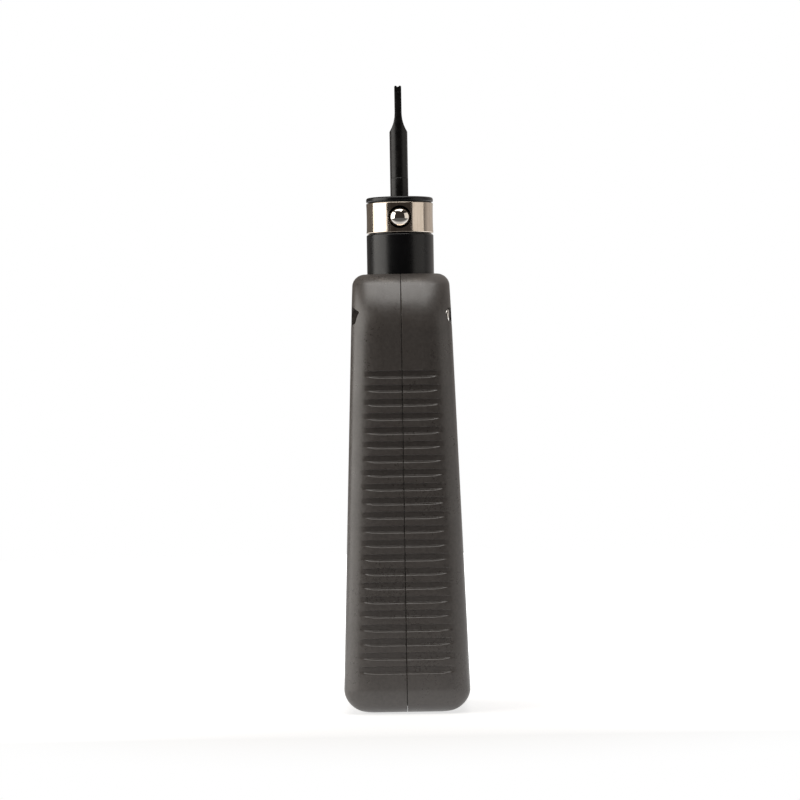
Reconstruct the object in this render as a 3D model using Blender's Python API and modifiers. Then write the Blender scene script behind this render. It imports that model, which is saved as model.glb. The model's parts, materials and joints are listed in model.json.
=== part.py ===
"""Impact punch down tool, modelled as the separate pieces it comes apart into on a bench.

The tool stands on its butt. +Z runs from the butt to the tip of the blade, the two handle shells
meet on the plane X = 0 and the grip grooves are cut into the narrow edges that face -Y and +Y.
The origin is the centre of the butt face.  All lengths are in metres.
"""

import math

import bmesh
import bpy
from mathutils import Vector

MM = 0.001

# ----------------------------------------------------------------------------------------------
# Clearances
# ----------------------------------------------------------------------------------------------
CLEAR = 0.3 * MM            # gap between neighbours that touch or slide on each other
SEAM_HALF_GAP = 0.15 * MM    # each shell stops this far from the seam plane

# ----------------------------------------------------------------------------------------------
# Driving dimensions: holder, band, ball and blade
# ----------------------------------------------------------------------------------------------
SLEEVE_R = 9.5 * MM
SLEEVE_EXPOSED = 11.8 * MM
SLEEVE_ENGAGED = 18.8 * MM
STROKE = 11.0 * MM
BAND_HEIGHT = 8.5 * MM
BAND_THICKNESS = 0.55 * MM
BAND_SPLIT = 2.0 * MM
BAND_HOLD = 0.45 * MM        # how much smaller the band's hole is than the ball
FLANGE_HEIGHT = 1.6 * MM
FLANGE_ROUND = 0.6 * MM
BALL_PROUD = 0.3 * MM        # how far the ball stands out of the sleeve
BLADE_SHANK_R = 2.55 * MM
BLADE_ROOT_R = 2.7 * MM
BLADE_EXPOSED = 32.0 * MM
BLADE_SEATED = 23.2 * MM
BLADE_ROOT_EXPOSED = 5.7 * MM
BLADE_TIP_HALF = 1.0 * MM
BLADE_TIP_LENGTH = 7.6 * MM
BLADE_TAPER_LENGTH = 5.6 * MM
BLADE_SLOT = 0.9 * MM
BLADE_SLOT_DEPTH = 4.6 * MM
BLADE_STEP = 2.1 * MM
BLADE_DETENT_FLOOR = 0.5 * MM

# ----------------------------------------------------------------------------------------------
# Driving dimensions: handle
# ----------------------------------------------------------------------------------------------
BODY_HEIGHT = 122.8 * MM
BUTT_WIDTH = 35.7 * MM
NOSE_SIDE_WALL = 4.05 * MM
NOSE_EDGE_WALL = 3.5 * MM
SHOULDER_LENGTH = 17.0 * MM
EDGE_WIDTH = 8.8 * MM         # how far the rounded long edges reach in from the sides
EDGE_DEPTH = 5.5 * MM         # and from the front and back
LEAST_ROUND = 1.0 * MM
BUTT_ROUND_WIDTH = 8.5 * MM
BUTT_ROUND_HEIGHT = 7.0 * MM
NOSE_ROUND = 3.4 * MM
SHELL_WALL = 2.6 * MM

SEAM_LIP_DEPTH = 2.0 * MM    # from the outline to the lip that laps over the seam
SEAM_LIP_THICKNESS = 1.0 * MM
SEAM_LIP_REACH = 1.0 * MM    # how far the lip stands into the other shell
SEAM_LIP_GAP = 0.15 * MM
SEAM_LIP_DROP = 14.8 * MM    # from the top of the body down to the upper end of the lip
SEAM_LIP_BACK_TOP = 15.5 * MM  # where the lip on the back edge ends, below the door

GROOVE_COUNT = 22
GROOVE_PITCH = 3.91 * MM
GROOVE_HEIGHT = 2.2 * MM
GROOVE_DEPTH = 0.7 * MM
GROOVE_LIP = 0.4 * MM
GROOVE_WALL = 0.12 * MM
GROOVE_START = 29.4 * MM    # from the top of the body to the lower lip of the first groove

# ----------------------------------------------------------------------------------------------
# Driving dimensions: mechanism
# ----------------------------------------------------------------------------------------------
HAMMER_R = 8.6 * MM
HAMMER_LENGTH = 21.7 * MM
HAMMER_DROP = 30.0 * MM     # from the bottom of the holder to the top of the hammer
TUBE_WALL = 1.1 * MM
ROD_R = 3.0 * MM
SPINDLE_R = 4.5 * MM
SPINDLE_SEATED = 13.2 * MM
WASHER_THICKNESS = 2.0 * MM
WASHER_DROP = 3.0 * MM      # free space between the hammer and the washer
BUSH_WALL = 1.8 * MM
BUSH_LENGTH = 10.4 * MM
NOSE_LIP = 2.4 * MM
CLIP_PROUD = 1.2 * MM
CLIP_HEIGHT = 1.2 * MM
CLIP_RISE = 2.5 * MM
HOLDER_PIN_R = 1.25 * MM
HOLDER_PIN_RISE = 7.8 * MM

SEAR_THICKNESS = 2.2 * MM
SEAR_TRAVEL = 1.5 * MM
SEAR_RISE = 9.7 * MM        # from the bottom of the hammer to the underside of the sear
SEAR_HALF_WIDTH = 4.6 * MM
SEAR_TONGUE_HALF = 1.9 * MM
SEAR_TONGUE = 2.0 * MM
SEAR_SIDE = 2.0 * MM        # web between the sear's hole and its spring end

SEAT_R = 8.6 * MM
SEAT_THICKNESS = 3.0 * MM
SEAT_TRAVEL = 3.0 * MM
SEAT_SPIGOT_R = 5.0 * MM
SEAT_SPIGOT = 3.5 * MM
SEAT_FLOOR = 21.5 * MM
BORE_FLOOR = 13.5 * MM

MAIN_SPRING_R = 6.6 * MM
MAIN_WIRE_R = 0.8 * MM
MAIN_PITCH = 3.9 * MM
RETURN_SPRING_R = 6.0 * MM
RETURN_WIRE_R = 0.7 * MM
RETURN_PITCH = 4.0 * MM
SEAR_SPRING_R = 0.85 * MM
SEAR_WIRE_R = 0.2 * MM
SEAR_PITCH = 0.9 * MM

DIAL_R = 7.0 * MM
DIAL_THICKNESS = 3.0 * MM
DIAL_RECESS = 0.35 * MM
DIAL_HUB_R = 3.1 * MM
DIAL_PIN_R = 1.5 * MM
DIAL_PIN_GAP = 0.5 * MM
DIAL_SLOT = 1.6 * MM
DIAL_SLOT_DEPTH = 1.0 * MM

# ----------------------------------------------------------------------------------------------
# Driving dimensions: fasteners and storage
# ----------------------------------------------------------------------------------------------
SCREW_R = 1.5 * MM
SCREW_HEAD_R = 2.3 * MM
SCREW_HEAD_HEIGHT = 2.2 * MM
SCREW_HEAD_SUNK = 0.7 * MM
NOSE_SCREW_DROP = 12.4 * MM
NOSE_SCREW_EDGE = 2.9 * MM
GRIP_SCREW_Z = 52.0 * MM
SCREW_EDGE = 0.6 * MM       # wall between a bore and the screw hole beside it
CROSS_WIDTH = 0.7 * MM
CROSS_LENGTH = 2.8 * MM
CROSS_DEPTH = 1.1 * MM
NUT_R = 2.9 * MM
NUT_HEIGHT = 2.4 * MM
NUT_SUNK = 2.2 * MM
BOSS_R = 3.4 * MM

DOOR_WIDTH = 11.0 * MM
DOOR_THICKNESS = 3.4 * MM
DOOR_BOTTOM = 20.0 * MM
DOOR_LENGTH = 64.0 * MM
DOOR_BARREL_R = 1.7 * MM
DOOR_PIN_R = 0.8 * MM
DOOR_PIN_LENGTH = 17.0 * MM
DOOR_PIN_DEPTH = 2.1 * MM
DOOR_NOTCH_R = 2.2 * MM
DOOR_NOTCH_WIDTH = 7.0 * MM
STORAGE_WALL = 2.35 * MM
STORAGE_RISE = 6.0 * MM

# ----------------------------------------------------------------------------------------------
# Derived radii
# ----------------------------------------------------------------------------------------------
BUSH_INNER_R = SLEEVE_R + CLEAR
BUSH_OUTER_R = BUSH_INNER_R + BUSH_WALL
POCKET_R = BUSH_OUTER_R + CLEAR
CLIP_R = SLEEVE_R + CLIP_PROUD
UPPER_BORE_R = CLIP_R + CLEAR
TUBE_INNER_R = HAMMER_R + CLEAR
TUBE_OUTER_R = TUBE_INNER_R + TUBE_WALL
TUBE_BORE_R = TUBE_OUTER_R + CLEAR
SEAT_BORE_R = SEAT_R + CLEAR
NECK_R = SLEEVE_R - BAND_THICKNESS - CLEAR
BLADE_BORE_R = BLADE_ROOT_R + CLEAR
BALL_SEAT = BLADE_ROOT_R - BLADE_DETENT_FLOOR + CLEAR
BALL_R = 0.5 * (SLEEVE_R + BALL_PROUD - BALL_SEAT)
BAND_HOLE_R = BALL_R - BAND_HOLD
SPINDLE_BORE_R = SPINDLE_R + CLEAR
ROD_BORE_R = ROD_R + CLEAR
STORAGE_R = BLADE_ROOT_R + CLEAR
CLIP_FLOOR_R = SLEEVE_R - 0.8 * MM

# ----------------------------------------------------------------------------------------------
# Derived heights, from the top of the body upwards
# ----------------------------------------------------------------------------------------------
BAND_BOTTOM = BODY_HEIGHT + SLEEVE_EXPOSED
BAND_TOP = BAND_BOTTOM + BAND_HEIGHT
BAND_MIDDLE = BAND_BOTTOM + 0.5 * BAND_HEIGHT
HOLDER_TOP = BAND_TOP + FLANGE_HEIGHT
BLADE_TIP = HOLDER_TOP + BLADE_EXPOSED
BLADE_BOTTOM = HOLDER_TOP - BLADE_SEATED
BLADE_LENGTH = BLADE_TIP - BLADE_BOTTOM

# Derived heights, from the top of the body downwards
HOLDER_BOTTOM = BODY_HEIGHT - SLEEVE_ENGAGED
BUSH_TOP = BODY_HEIGHT - NOSE_LIP - CLEAR
BUSH_BOTTOM = BUSH_TOP - BUSH_LENGTH
HAMMER_TOP = HOLDER_BOTTOM - HAMMER_DROP
HAMMER_BOTTOM = HAMMER_TOP - HAMMER_LENGTH
SEAR_BOTTOM = HAMMER_BOTTOM + SEAR_RISE
SEAR_TOP = SEAR_BOTTOM + SEAR_THICKNESS
ROD_END = SEAR_TOP + CLEAR
ANVIL = HAMMER_TOP + CLEAR
WASHER_BOTTOM = HAMMER_TOP + WASHER_DROP + CLEAR
WASHER_TOP = WASHER_BOTTOM + WASHER_THICKNESS
LEDGE = WASHER_BOTTOM - CLEAR
TUBE_TOP = LEDGE - CLEAR
SEAT_TOP = SEAT_FLOOR + SEAT_THICKNESS
TUBE_BOTTOM = SEAT_TOP + SEAT_TRAVEL + 2.0 * CLEAR
DIAL_Z = SEAT_FLOOR - DIAL_PIN_GAP
HOLDER_PIN_Z = HOLDER_BOTTOM + HOLDER_PIN_RISE
SPINDLE_TOP = HOLDER_BOTTOM + SPINDLE_SEATED
CLIP_BOTTOM = HOLDER_BOTTOM + CLIP_RISE

# Derived handle widths and depths
NOSE_WIDTH = 2.0 * (SLEEVE_R + NOSE_SIDE_WALL)
NOSE_HALF_DEPTH = SLEEVE_R + NOSE_EDGE_WALL
DOOR_SEAT = TUBE_BORE_R + STORAGE_WALL + 2.0 * STORAGE_R + 0.05 * MM
BODY_HALF_DEPTH = DOOR_SEAT + DOOR_THICKNESS
STORAGE_Y = TUBE_BORE_R + STORAGE_WALL + STORAGE_R
DOOR_PIN_Y = BODY_HALF_DEPTH - DOOR_PIN_DEPTH
DOOR_TOP = DOOR_BOTTOM + DOOR_LENGTH

# Where the screws cross the seam plane, as (Y, Z)
NOSE_SCREW_Y = POCKET_R + NOSE_SCREW_EDGE + SCREW_R
GRIP_SCREW_Y = TUBE_BORE_R + SCREW_EDGE + SCREW_R + 2.0 * CLEAR
SCREW_PLACES = (
    (-NOSE_SCREW_Y, BODY_HEIGHT - NOSE_SCREW_DROP),
    (NOSE_SCREW_Y, BODY_HEIGHT - NOSE_SCREW_DROP),
    (-GRIP_SCREW_Y, GRIP_SCREW_Z),
    (-GRIP_SCREW_Y, 0.5 * (BODY_HEIGHT - NOSE_SCREW_DROP + GRIP_SCREW_Z)),
    (0.0, 9.0 * MM),
)
BOSS_SCREWS = (2, 3)        # the screws that cross the hollow edge pockets

SIDES = 32                  # sides of the round pieces that show
INNER_SIDES = 20            # sides of the round pieces inside
ARC_STEPS = 4               # steps of a rounded corner


# ----------------------------------------------------------------------------------------------
# Scene, collections and materials
# ----------------------------------------------------------------------------------------------
def clear_scene():
    """Remove every object of the start scene."""
    for obj in list(bpy.data.objects):
        bpy.data.objects.remove(obj, do_unlink=True)


def new_collection(name):
    collection = bpy.data.collections.new(name)
    bpy.context.scene.collection.children.link(collection)
    return collection


def principled(name, colour, roughness, metallic=0.0):
    material = bpy.data.materials.new(name)
    material.use_nodes = True
    shader = material.node_tree.nodes["Principled BSDF"]
    shader.inputs["Base Color"].default_value = (*colour, 1.0)
    shader.inputs["Roughness"].default_value = roughness
    shader.inputs["Metallic"].default_value = metallic
    return material


def handle_plastic():
    return principled("warm_grey_plastic", (0.055, 0.048, 0.043), 0.55)


def black_steel():
    return principled("black_oxide_steel", (0.018, 0.018, 0.020), 0.35, 0.9)


def satin_black():
    return principled("satin_black_sleeve", (0.022, 0.022, 0.024), 0.32, 0.6)


def nickel():
    return principled("nickel_plate", (0.66, 0.60, 0.52), 0.18, 1.0)


def polished_steel():
    return principled("polished_steel", (0.75, 0.74, 0.72), 0.08, 1.0)


def zinc_steel():
    return principled("zinc_plated_steel", (0.52, 0.52, 0.53), 0.35, 1.0)


def spring_steel():
    return principled("spring_steel", (0.30, 0.30, 0.31), 0.30, 1.0)


def hardened_steel():
    return principled("hardened_steel", (0.24, 0.24, 0.25), 0.40, 1.0)


def sintered_bronze():
    return principled("sintered_bronze", (0.42, 0.27, 0.13), 0.45, 1.0)


def red_nylon():
    return principled("red_nylon", (0.33, 0.03, 0.025), 0.45)


# ----------------------------------------------------------------------------------------------
# Shapes
# ----------------------------------------------------------------------------------------------
class Shop:
    """Makes objects, and files them as parts or as cutters."""

    def __init__(self):
        self.parts = new_collection("punch_down_tool")
        self.cutters = new_collection("cutters")

    def finish_part(self, obj, material):
        """File the object as a part and give it its material."""
        self.parts.objects.link(obj)
        obj.data.materials.append(material)
        return obj

    def finish_cutter(self, obj):
        """File the object as a cutter, which is never part of the model."""
        self.cutters.objects.link(obj)
        obj.hide_render = True
        obj.display_type = "WIRE"
        return obj


def from_bmesh(name, bm):
    mesh = bpy.data.meshes.new(name)
    bm.to_mesh(mesh)
    bm.free()
    mesh.shade_smooth()
    mesh.set_sharp_from_angle(angle=math.radians(35.0))
    return bpy.data.objects.new(name, mesh)


def box(name, low, high):
    """A box between two opposite corners."""
    low = Vector(low)
    high = Vector(high)
    bm = bmesh.new()
    bmesh.ops.create_cube(bm, size=1.0)
    bmesh.ops.scale(bm, vec=high - low, verts=bm.verts)
    bmesh.ops.translate(bm, vec=0.5 * (low + high), verts=bm.verts)
    return from_bmesh(name, bm)


def rod(name, radius, start, end, sides=INNER_SIDES):
    """A straight cylinder, or a prism of few sides, between two points on its axis."""
    start = Vector(start)
    end = Vector(end)
    bm = bmesh.new()
    bmesh.ops.create_cone(
        bm, cap_ends=True, segments=sides, radius1=radius, radius2=radius, depth=(end - start).length)
    obj = from_bmesh(name, bm)
    obj.rotation_euler = (end - start).to_track_quat("Z", "Y").to_euler()
    obj.location = 0.5 * (start + end)
    return obj


def turned(name, profile, sides=SIDES, ring=False):
    """Turn a profile of (radius, height) points, listed down its outer side, about its local Z."""
    mesh = bpy.data.meshes.new(name)
    count = len(profile)
    edges = [(i, i + 1) for i in range(count - 1)]
    if ring:
        edges.append((count - 1, 0))
    mesh.from_pydata([(radius, 0.0, height) for radius, height in profile], edges, [])
    obj = bpy.data.objects.new(name, mesh)
    screw = obj.modifiers.new("turn", "SCREW")
    screw.axis = "Z"
    screw.angle = 2.0 * math.pi
    screw.steps = sides
    screw.render_steps = sides
    screw.use_merge_vertices = True
    screw.merge_threshold = 0.00001
    return obj


def point_along_x(obj, place):
    """Turn an object's local Z to world +X and put its origin at a place."""
    obj.rotation_euler = (0.0, 0.5 * math.pi, 0.0)
    obj.location = place
    return obj


def loft(name, rings):
    """Skin rings of equal point count, listed upwards, each counter-clockwise seen from above."""
    bm = bmesh.new()
    rows = [[bm.verts.new(point) for point in ring] for ring in rings]
    count = len(rings[0])
    for low, high in zip(rows, rows[1:]):
        for i in range(count):
            j = (i + 1) % count
            bm.faces.new((low[i], low[j], high[j], high[i]))
    bm.faces.new(list(reversed(rows[0])))
    bm.faces.new(rows[-1])
    return from_bmesh(name, bm)


def coil(name, radius, wire_radius, length, pitch):
    """A round wire coil from its local origin up along local Z, with closed wire ends."""
    steps_per_turn = 10
    reach = length - 2.0 * wire_radius
    turns = max(2, round(reach / pitch))
    steps = turns * steps_per_turn
    curve = bpy.data.curves.new(name, "CURVE")
    curve.dimensions = "3D"
    curve.bevel_depth = wire_radius
    curve.bevel_resolution = 2
    curve.use_fill_caps = True
    spline = curve.splines.new("POLY")
    spline.points.add(steps)
    for i, point in enumerate(spline.points):
        angle = 2.0 * math.pi * i / steps_per_turn
        height = wire_radius + reach * i / steps
        point.co = (radius * math.cos(angle), radius * math.sin(angle), height, 1.0)
    return bpy.data.objects.new(name, curve)


def boolean(obj, tool, operation):
    """Combine an object with a tool shape by a Boolean modifier."""
    modifier = obj.modifiers.new(f"{operation.lower()}_{tool.name}", "BOOLEAN")
    modifier.operation = operation
    modifier.object = tool
    modifier.solver = "EXACT"


def cut(obj, *tools):
    for tool in tools:
        boolean(obj, tool, "DIFFERENCE")


def move_origin(obj, place):
    """Put an object's origin at a place without moving its surface."""
    place = Vector(place)
    for vertex in obj.data.vertices:
        vertex.co -= place
    obj.location = place
    return obj


def hang_on(empty, *objects):
    """Parent objects to an empty, keeping them where they are."""
    for obj in objects:
        obj.parent = empty
        obj.matrix_parent_inverse.identity()
        obj.location -= empty.location


def joint_empty(name, place):
    empty = bpy.data.objects.new(name, None)
    empty.empty_display_size = 5.0 * MM
    empty.location = place
    bpy.context.scene.collection.objects.link(empty)
    return empty


# ----------------------------------------------------------------------------------------------
# Outside form of the handle
# ----------------------------------------------------------------------------------------------
def half_width(z):
    """Half the handle's width in X, which tapers from the butt to the nose."""
    return 0.5 * (BUTT_WIDTH + (NOSE_WIDTH - BUTT_WIDTH) * z / BODY_HEIGHT)


def half_depth(z):
    """Half the handle's depth in Y, which is constant up to the shoulder and then curves in."""
    share = max(0.0, (z - BODY_HEIGHT + SHOULDER_LENGTH) / SHOULDER_LENGTH)
    return BODY_HALF_DEPTH - (BODY_HALF_DEPTH - NOSE_HALF_DEPTH) * share ** 2


def end_inset(z):
    """How far the butt's and the nose's rounded edges pull the outline in."""
    inset = 0.0
    if z < BUTT_ROUND_HEIGHT:
        fall = 1.0 - z / BUTT_ROUND_HEIGHT
        inset = BUTT_ROUND_WIDTH * (1.0 - math.sqrt(max(0.0, 1.0 - fall ** 2)))
    elif z > BODY_HEIGHT - NOSE_ROUND:
        rise = 1.0 - (BODY_HEIGHT - z) / NOSE_ROUND
        inset = NOSE_ROUND * (1.0 - math.sqrt(max(0.0, 1.0 - rise ** 2)))
    return inset


def groove_lips():
    """Heights of the lower lips of the grip grooves, from the top one down."""
    first = BODY_HEIGHT - GROOVE_START
    return [first - GROOVE_PITCH * i for i in range(GROOVE_COUNT)]


def groove_stations():
    """Heights where the outline changes because of a groove, each with the groove's depth there."""
    stations = []
    for lip in groove_lips():
        stations.append((lip, 0.0))
        stations.append((lip + GROOVE_LIP, GROOVE_DEPTH))
        stations.append((lip + GROOVE_HEIGHT - GROOVE_WALL, GROOVE_DEPTH))
        stations.append((lip + GROOVE_HEIGHT, 0.0))
    return stations


def end_stations():
    """Heights of the rings that round the butt, the shoulder and the nose."""
    heights = [BUTT_ROUND_HEIGHT * (1.0 - math.cos(0.5 * math.pi * i / 6)) for i in range(7)]
    shoulder = BODY_HEIGHT - SHOULDER_LENGTH
    heights += [shoulder + (SHOULDER_LENGTH - NOSE_ROUND) * i / 6 for i in range(7)]
    heights += [BODY_HEIGHT - NOSE_ROUND * (1.0 - math.sin(0.5 * math.pi * i / 5)) for i in range(1, 6)]
    return [(z, 0.0) for z in heights]


def body_stations():
    return sorted(end_stations() + groove_stations())


def corner(centre_x, centre_y, reach_x, reach_y, start):
    """A quarter of an ellipse, counter-clockwise from a start angle."""
    return [
        (centre_x + reach_x * math.cos(start + 0.5 * math.pi * i / ARC_STEPS),
         centre_y + reach_y * math.sin(start + 0.5 * math.pi * i / ARC_STEPS))
        for i in range(ARC_STEPS + 1)
    ]


def half_outline(wide, deep, inset, seam):
    """The +X half of a rounded oblong, from its front at the seam round to its back."""
    reach_x = max(EDGE_WIDTH - inset, LEAST_ROUND)
    reach_y = max(EDGE_DEPTH - inset, LEAST_ROUND)
    points = [(seam, -deep)]
    points += corner(wide - reach_x, reach_y - deep, reach_x, reach_y, -0.5 * math.pi)
    points += corner(wide - reach_x, deep - reach_y, reach_x, reach_y, 0.0)
    points.append((seam, deep))
    return points


def body_outline(z, groove, seam):
    """Half outline of the handle at a height, cut flat at the grip grooves' floor."""
    inset = end_inset(z)
    deep = half_depth(z)
    limit = deep - inset - groove
    points = half_outline(half_width(z) - inset, deep - inset, inset, seam)
    return [(x, max(-limit, min(limit, y))) for x, y in points]


def mirrored(points):
    """The -X half of an outline, listed on counter-clockwise from the end of the +X half."""
    return [(-x, y) for x, y in reversed(points)]


def shell_form(name, side):
    """One half of the handle as a solid block."""
    rings = []
    for z, groove in body_stations():
        outline = body_outline(z, groove, SEAM_HALF_GAP)
        if side < 0:
            outline = mirrored(outline)
        rings.append([(x, y, z) for x, y in outline])
    return loft(name, rings)


def body_form(name):
    """The whole outside of the handle as one solid."""
    rings = []
    for z, groove in body_stations():
        right = body_outline(z, groove, 0.0)
        outline = right + mirrored(right)[1:-1]
        rings.append([(x, y, z) for x, y in outline])
    return loft(name, rings)


def seam_strip(name, side, top, grow):
    """The part of the seam's lip that follows one narrow edge, +1 for the back and -1 for the front."""
    low_x = -2.0 * SEAM_HALF_GAP
    high_x = SEAM_LIP_REACH + grow
    rings = []
    steps = 30
    bottom = SEAM_LIP_DEPTH - grow
    for i in range(steps + 1):
        z = bottom + (top + grow - bottom) * (i / steps) ** 2
        outer = half_depth(z) - end_inset(z) - GROOVE_DEPTH - SEAM_LIP_DEPTH + grow
        inner = outer - SEAM_LIP_THICKNESS - 2.0 * grow
        rings.append([(low_x, side * outer, z), (high_x, side * outer, z),
                      (high_x, side * inner, z), (low_x, side * inner, z)])
    return loft(name, rings)


def seam_lips(shop, name, grow):
    """The lip along the front, the butt and the lower back of the seam, grown for its rebate."""
    bottom = SEAM_LIP_DEPTH - grow
    reach = half_depth(0.0) - end_inset(SEAM_LIP_DEPTH) - GROOVE_DEPTH - SEAM_LIP_DEPTH - 0.5 * SEAM_LIP_THICKNESS
    lip = seam_strip(name, -1.0, BODY_HEIGHT - SEAM_LIP_DROP, grow)
    back = seam_strip(f"{name}_back", 1.0, SEAM_LIP_BACK_TOP, grow)
    butt = box(f"{name}_butt", (-2.0 * SEAM_HALF_GAP, -reach, bottom),
               (SEAM_LIP_REACH + grow, reach, bottom + SEAM_LIP_THICKNESS + 2.0 * grow))
    lip = shop.finish_cutter(lip)
    boolean(lip, shop.finish_cutter(butt), "UNION")
    boolean(lip, shop.finish_cutter(back), "UNION")
    return lip


# ----------------------------------------------------------------------------------------------
# Cutters for the handle
# ----------------------------------------------------------------------------------------------
def edge_pockets(shop):
    """The hollows that lighten the narrow edges, around the bosses and the storage block."""
    core_half = UPPER_BORE_R + 1.9 * MM
    bottom = BORE_FLOOR
    top = BUSH_BOTTOM - 2.0 * MM
    steps = 10
    rings = []
    for i in range(steps + 1):
        z = bottom + (top - bottom) * i / steps
        right = half_outline(half_width(z) - SHELL_WALL, half_depth(z) - SHELL_WALL - GROOVE_DEPTH,
                             SHELL_WALL, 0.0)
        rings.append([(x, y, z) for x, y in right + mirrored(right)[1:-1]])
    pockets = shop.finish_cutter(loft("edge_pockets", rings))
    wide = BUTT_WIDTH
    core = shop.finish_cutter(box("pocket_core", (-wide, -core_half, 0.0), (wide, core_half, BODY_HEIGHT)))
    store_top = DOOR_TOP + 2.0 * MM
    store = shop.finish_cutter(box("storage_block", (-wide, 0.0, 0.0), (wide, 2.0 * wide, store_top)))
    cut(pockets, core, store)
    for index in BOSS_SCREWS:
        y, z = SCREW_PLACES[index]
        boss = rod(f"boss_{index + 1}", BOSS_R, (-wide, y, z), (wide, y, z), 16)
        cut(pockets, shop.finish_cutter(boss))
    return pockets


def mechanism_bore(shop):
    """The stepped bore through both shells that holds the mechanism, the bushing and the holder."""
    over = 2.0 * MM
    profile = [
        (0.0, BODY_HEIGHT + over),
        (BUSH_INNER_R, BODY_HEIGHT + over),
        (BUSH_INNER_R, BUSH_TOP + CLEAR),
        (POCKET_R, BUSH_TOP + CLEAR),
        (POCKET_R, BUSH_BOTTOM - CLEAR),
        (UPPER_BORE_R, BUSH_BOTTOM - CLEAR),
        (UPPER_BORE_R, LEDGE),
        (TUBE_BORE_R, LEDGE),
        (TUBE_BORE_R, TUBE_BOTTOM - CLEAR),
        (SEAT_BORE_R, TUBE_BOTTOM - CLEAR),
        (SEAT_BORE_R, BORE_FLOOR),
        (0.0, BORE_FLOOR),
    ]
    return shop.finish_cutter(turned("mechanism_bore", profile, SIDES))


def head_x(z):
    """Where the outer face of a screw head lies on the +X side of the handle."""
    return half_width(z) - SCREW_HEAD_SUNK


def nut_x(z):
    """How far the outer face of a nut lies from the seam plane on the -X side of the handle."""
    return half_width(z) - NUT_SUNK


def screw_hole(shop, index):
    """The stepped hole of one screw: a counterbore for its head and a through hole for its shank."""
    y, z = SCREW_PLACES[index]
    far = BUTT_WIDTH
    floor = head_x(z) - SCREW_HEAD_HEIGHT - CLEAR
    profile = [
        (0.0, far),
        (SCREW_HEAD_R + CLEAR, far),
        (SCREW_HEAD_R + CLEAR, floor),
        (SCREW_R + CLEAR, floor),
        (SCREW_R + CLEAR, -far),
        (0.0, -far),
    ]
    hole = turned(f"screw_hole_{index + 1}", profile, INNER_SIDES)
    return shop.finish_cutter(point_along_x(hole, (0.0, y, z)))


def nut_recess(shop, index):
    """The hexagonal recess of one nut in the -X shell."""
    y, z = SCREW_PLACES[index]
    floor = nut_x(z) - NUT_HEIGHT - CLEAR
    recess = rod(f"nut_recess_{index + 1}", NUT_R + CLEAR, (-BUTT_WIDTH, y, z), (-floor, y, z), 6)
    return shop.finish_cutter(recess)


def dial_x():
    """Where the dial's outer face lies."""
    return half_width(DIAL_Z) - DIAL_RECESS


def dial_recess(shop):
    """The stepped hole of the dial in the +X shell."""
    floor = dial_x() - DIAL_THICKNESS - CLEAR
    profile = [
        (0.0, BUTT_WIDTH),
        (DIAL_R + CLEAR, BUTT_WIDTH),
        (DIAL_R + CLEAR, floor),
        (DIAL_HUB_R + CLEAR, floor),
        (DIAL_HUB_R + CLEAR, 0.5 * SEAT_BORE_R),
        (0.0, 0.5 * SEAT_BORE_R),
    ]
    return shop.finish_cutter(point_along_x(turned("dial_recess", profile), (0.0, 0.0, DIAL_Z)))


def door_opening():
    """The door's opening, its lower end rounded about the hinge line so that the door can turn."""
    half = 0.5 * DOOR_WIDTH + CLEAR
    swept = DOOR_PIN_DEPTH + CLEAR
    back = DOOR_SEAT - CLEAR
    far = 2.0 * BODY_HALF_DEPTH
    steps = 14
    first = math.acos((back - DOOR_PIN_Y) / swept)
    last = 1.5 * math.pi
    outline = [(far, DOOR_BOTTOM - swept), (far, DOOR_TOP + CLEAR), (back, DOOR_TOP + CLEAR)]
    for i in range(steps + 1):
        angle = first + (last - first) * i / steps
        outline.append((DOOR_PIN_Y + swept * math.cos(angle), DOOR_BOTTOM + swept * math.sin(angle)))
    return loft("door_opening", [[(x, y, z) for y, z in outline] for x in (-half, half)])


def door_barrel(name, radius, half_length, sides=INNER_SIDES):
    """A cylinder about the door's hinge line."""
    return rod(name, radius, (-half_length, DOOR_PIN_Y, DOOR_BOTTOM),
               (half_length, DOOR_PIN_Y, DOOR_BOTTOM), sides)


def door_cutters(shop):
    """Opening, barrel seat, hinge pin hole and blade channel at the back of both shells."""
    pin = door_barrel("door_pin_hole", DOOR_PIN_R + CLEAR, 0.5 * DOOR_PIN_LENGTH + CLEAR, 16)
    low = DOOR_BOTTOM + STORAGE_RISE - CLEAR
    high = low + BLADE_LENGTH + 2.0 * CLEAR
    round_floor = rod("blade_channel_floor", STORAGE_R, (0.0, STORAGE_Y, low), (0.0, STORAGE_Y, high), 24)
    mouth = box("blade_channel_mouth", (-STORAGE_R, STORAGE_Y, low), (STORAGE_R, DOOR_SEAT, high))
    return [shop.finish_cutter(obj) for obj in (door_opening(), pin, round_floor, mouth)]


def door_notch(shop):
    """The scoop over the door's top edge for a fingernail."""
    half = 0.5 * DOOR_NOTCH_WIDTH
    y = BODY_HALF_DEPTH + 0.3 * DOOR_NOTCH_R
    return shop.finish_cutter(rod("door_notch", DOOR_NOTCH_R, (-half, y, DOOR_TOP), (half, y, DOOR_TOP), 16))


# ----------------------------------------------------------------------------------------------
# Handle pieces
# ----------------------------------------------------------------------------------------------
def build_shells(shop, notch):
    material = handle_plastic()
    left = shop.finish_part(shell_form("left_shell", -1), material)
    right = shop.finish_part(shell_form("right_shell", 1), material)
    shared = [edge_pockets(shop), mechanism_bore(shop)] + door_cutters(shop) + [notch]
    holes = [screw_hole(shop, index) for index in range(len(SCREW_PLACES))]
    nuts = [nut_recess(shop, index) for index in range(len(SCREW_PLACES))]
    boolean(left, seam_lips(shop, "seam_lip", 0.0), "UNION")
    cut(left, *shared, *holes, *nuts)
    cut(right, *shared, *holes, dial_recess(shop), seam_lips(shop, "seam_rebate", SEAM_LIP_GAP))


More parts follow.
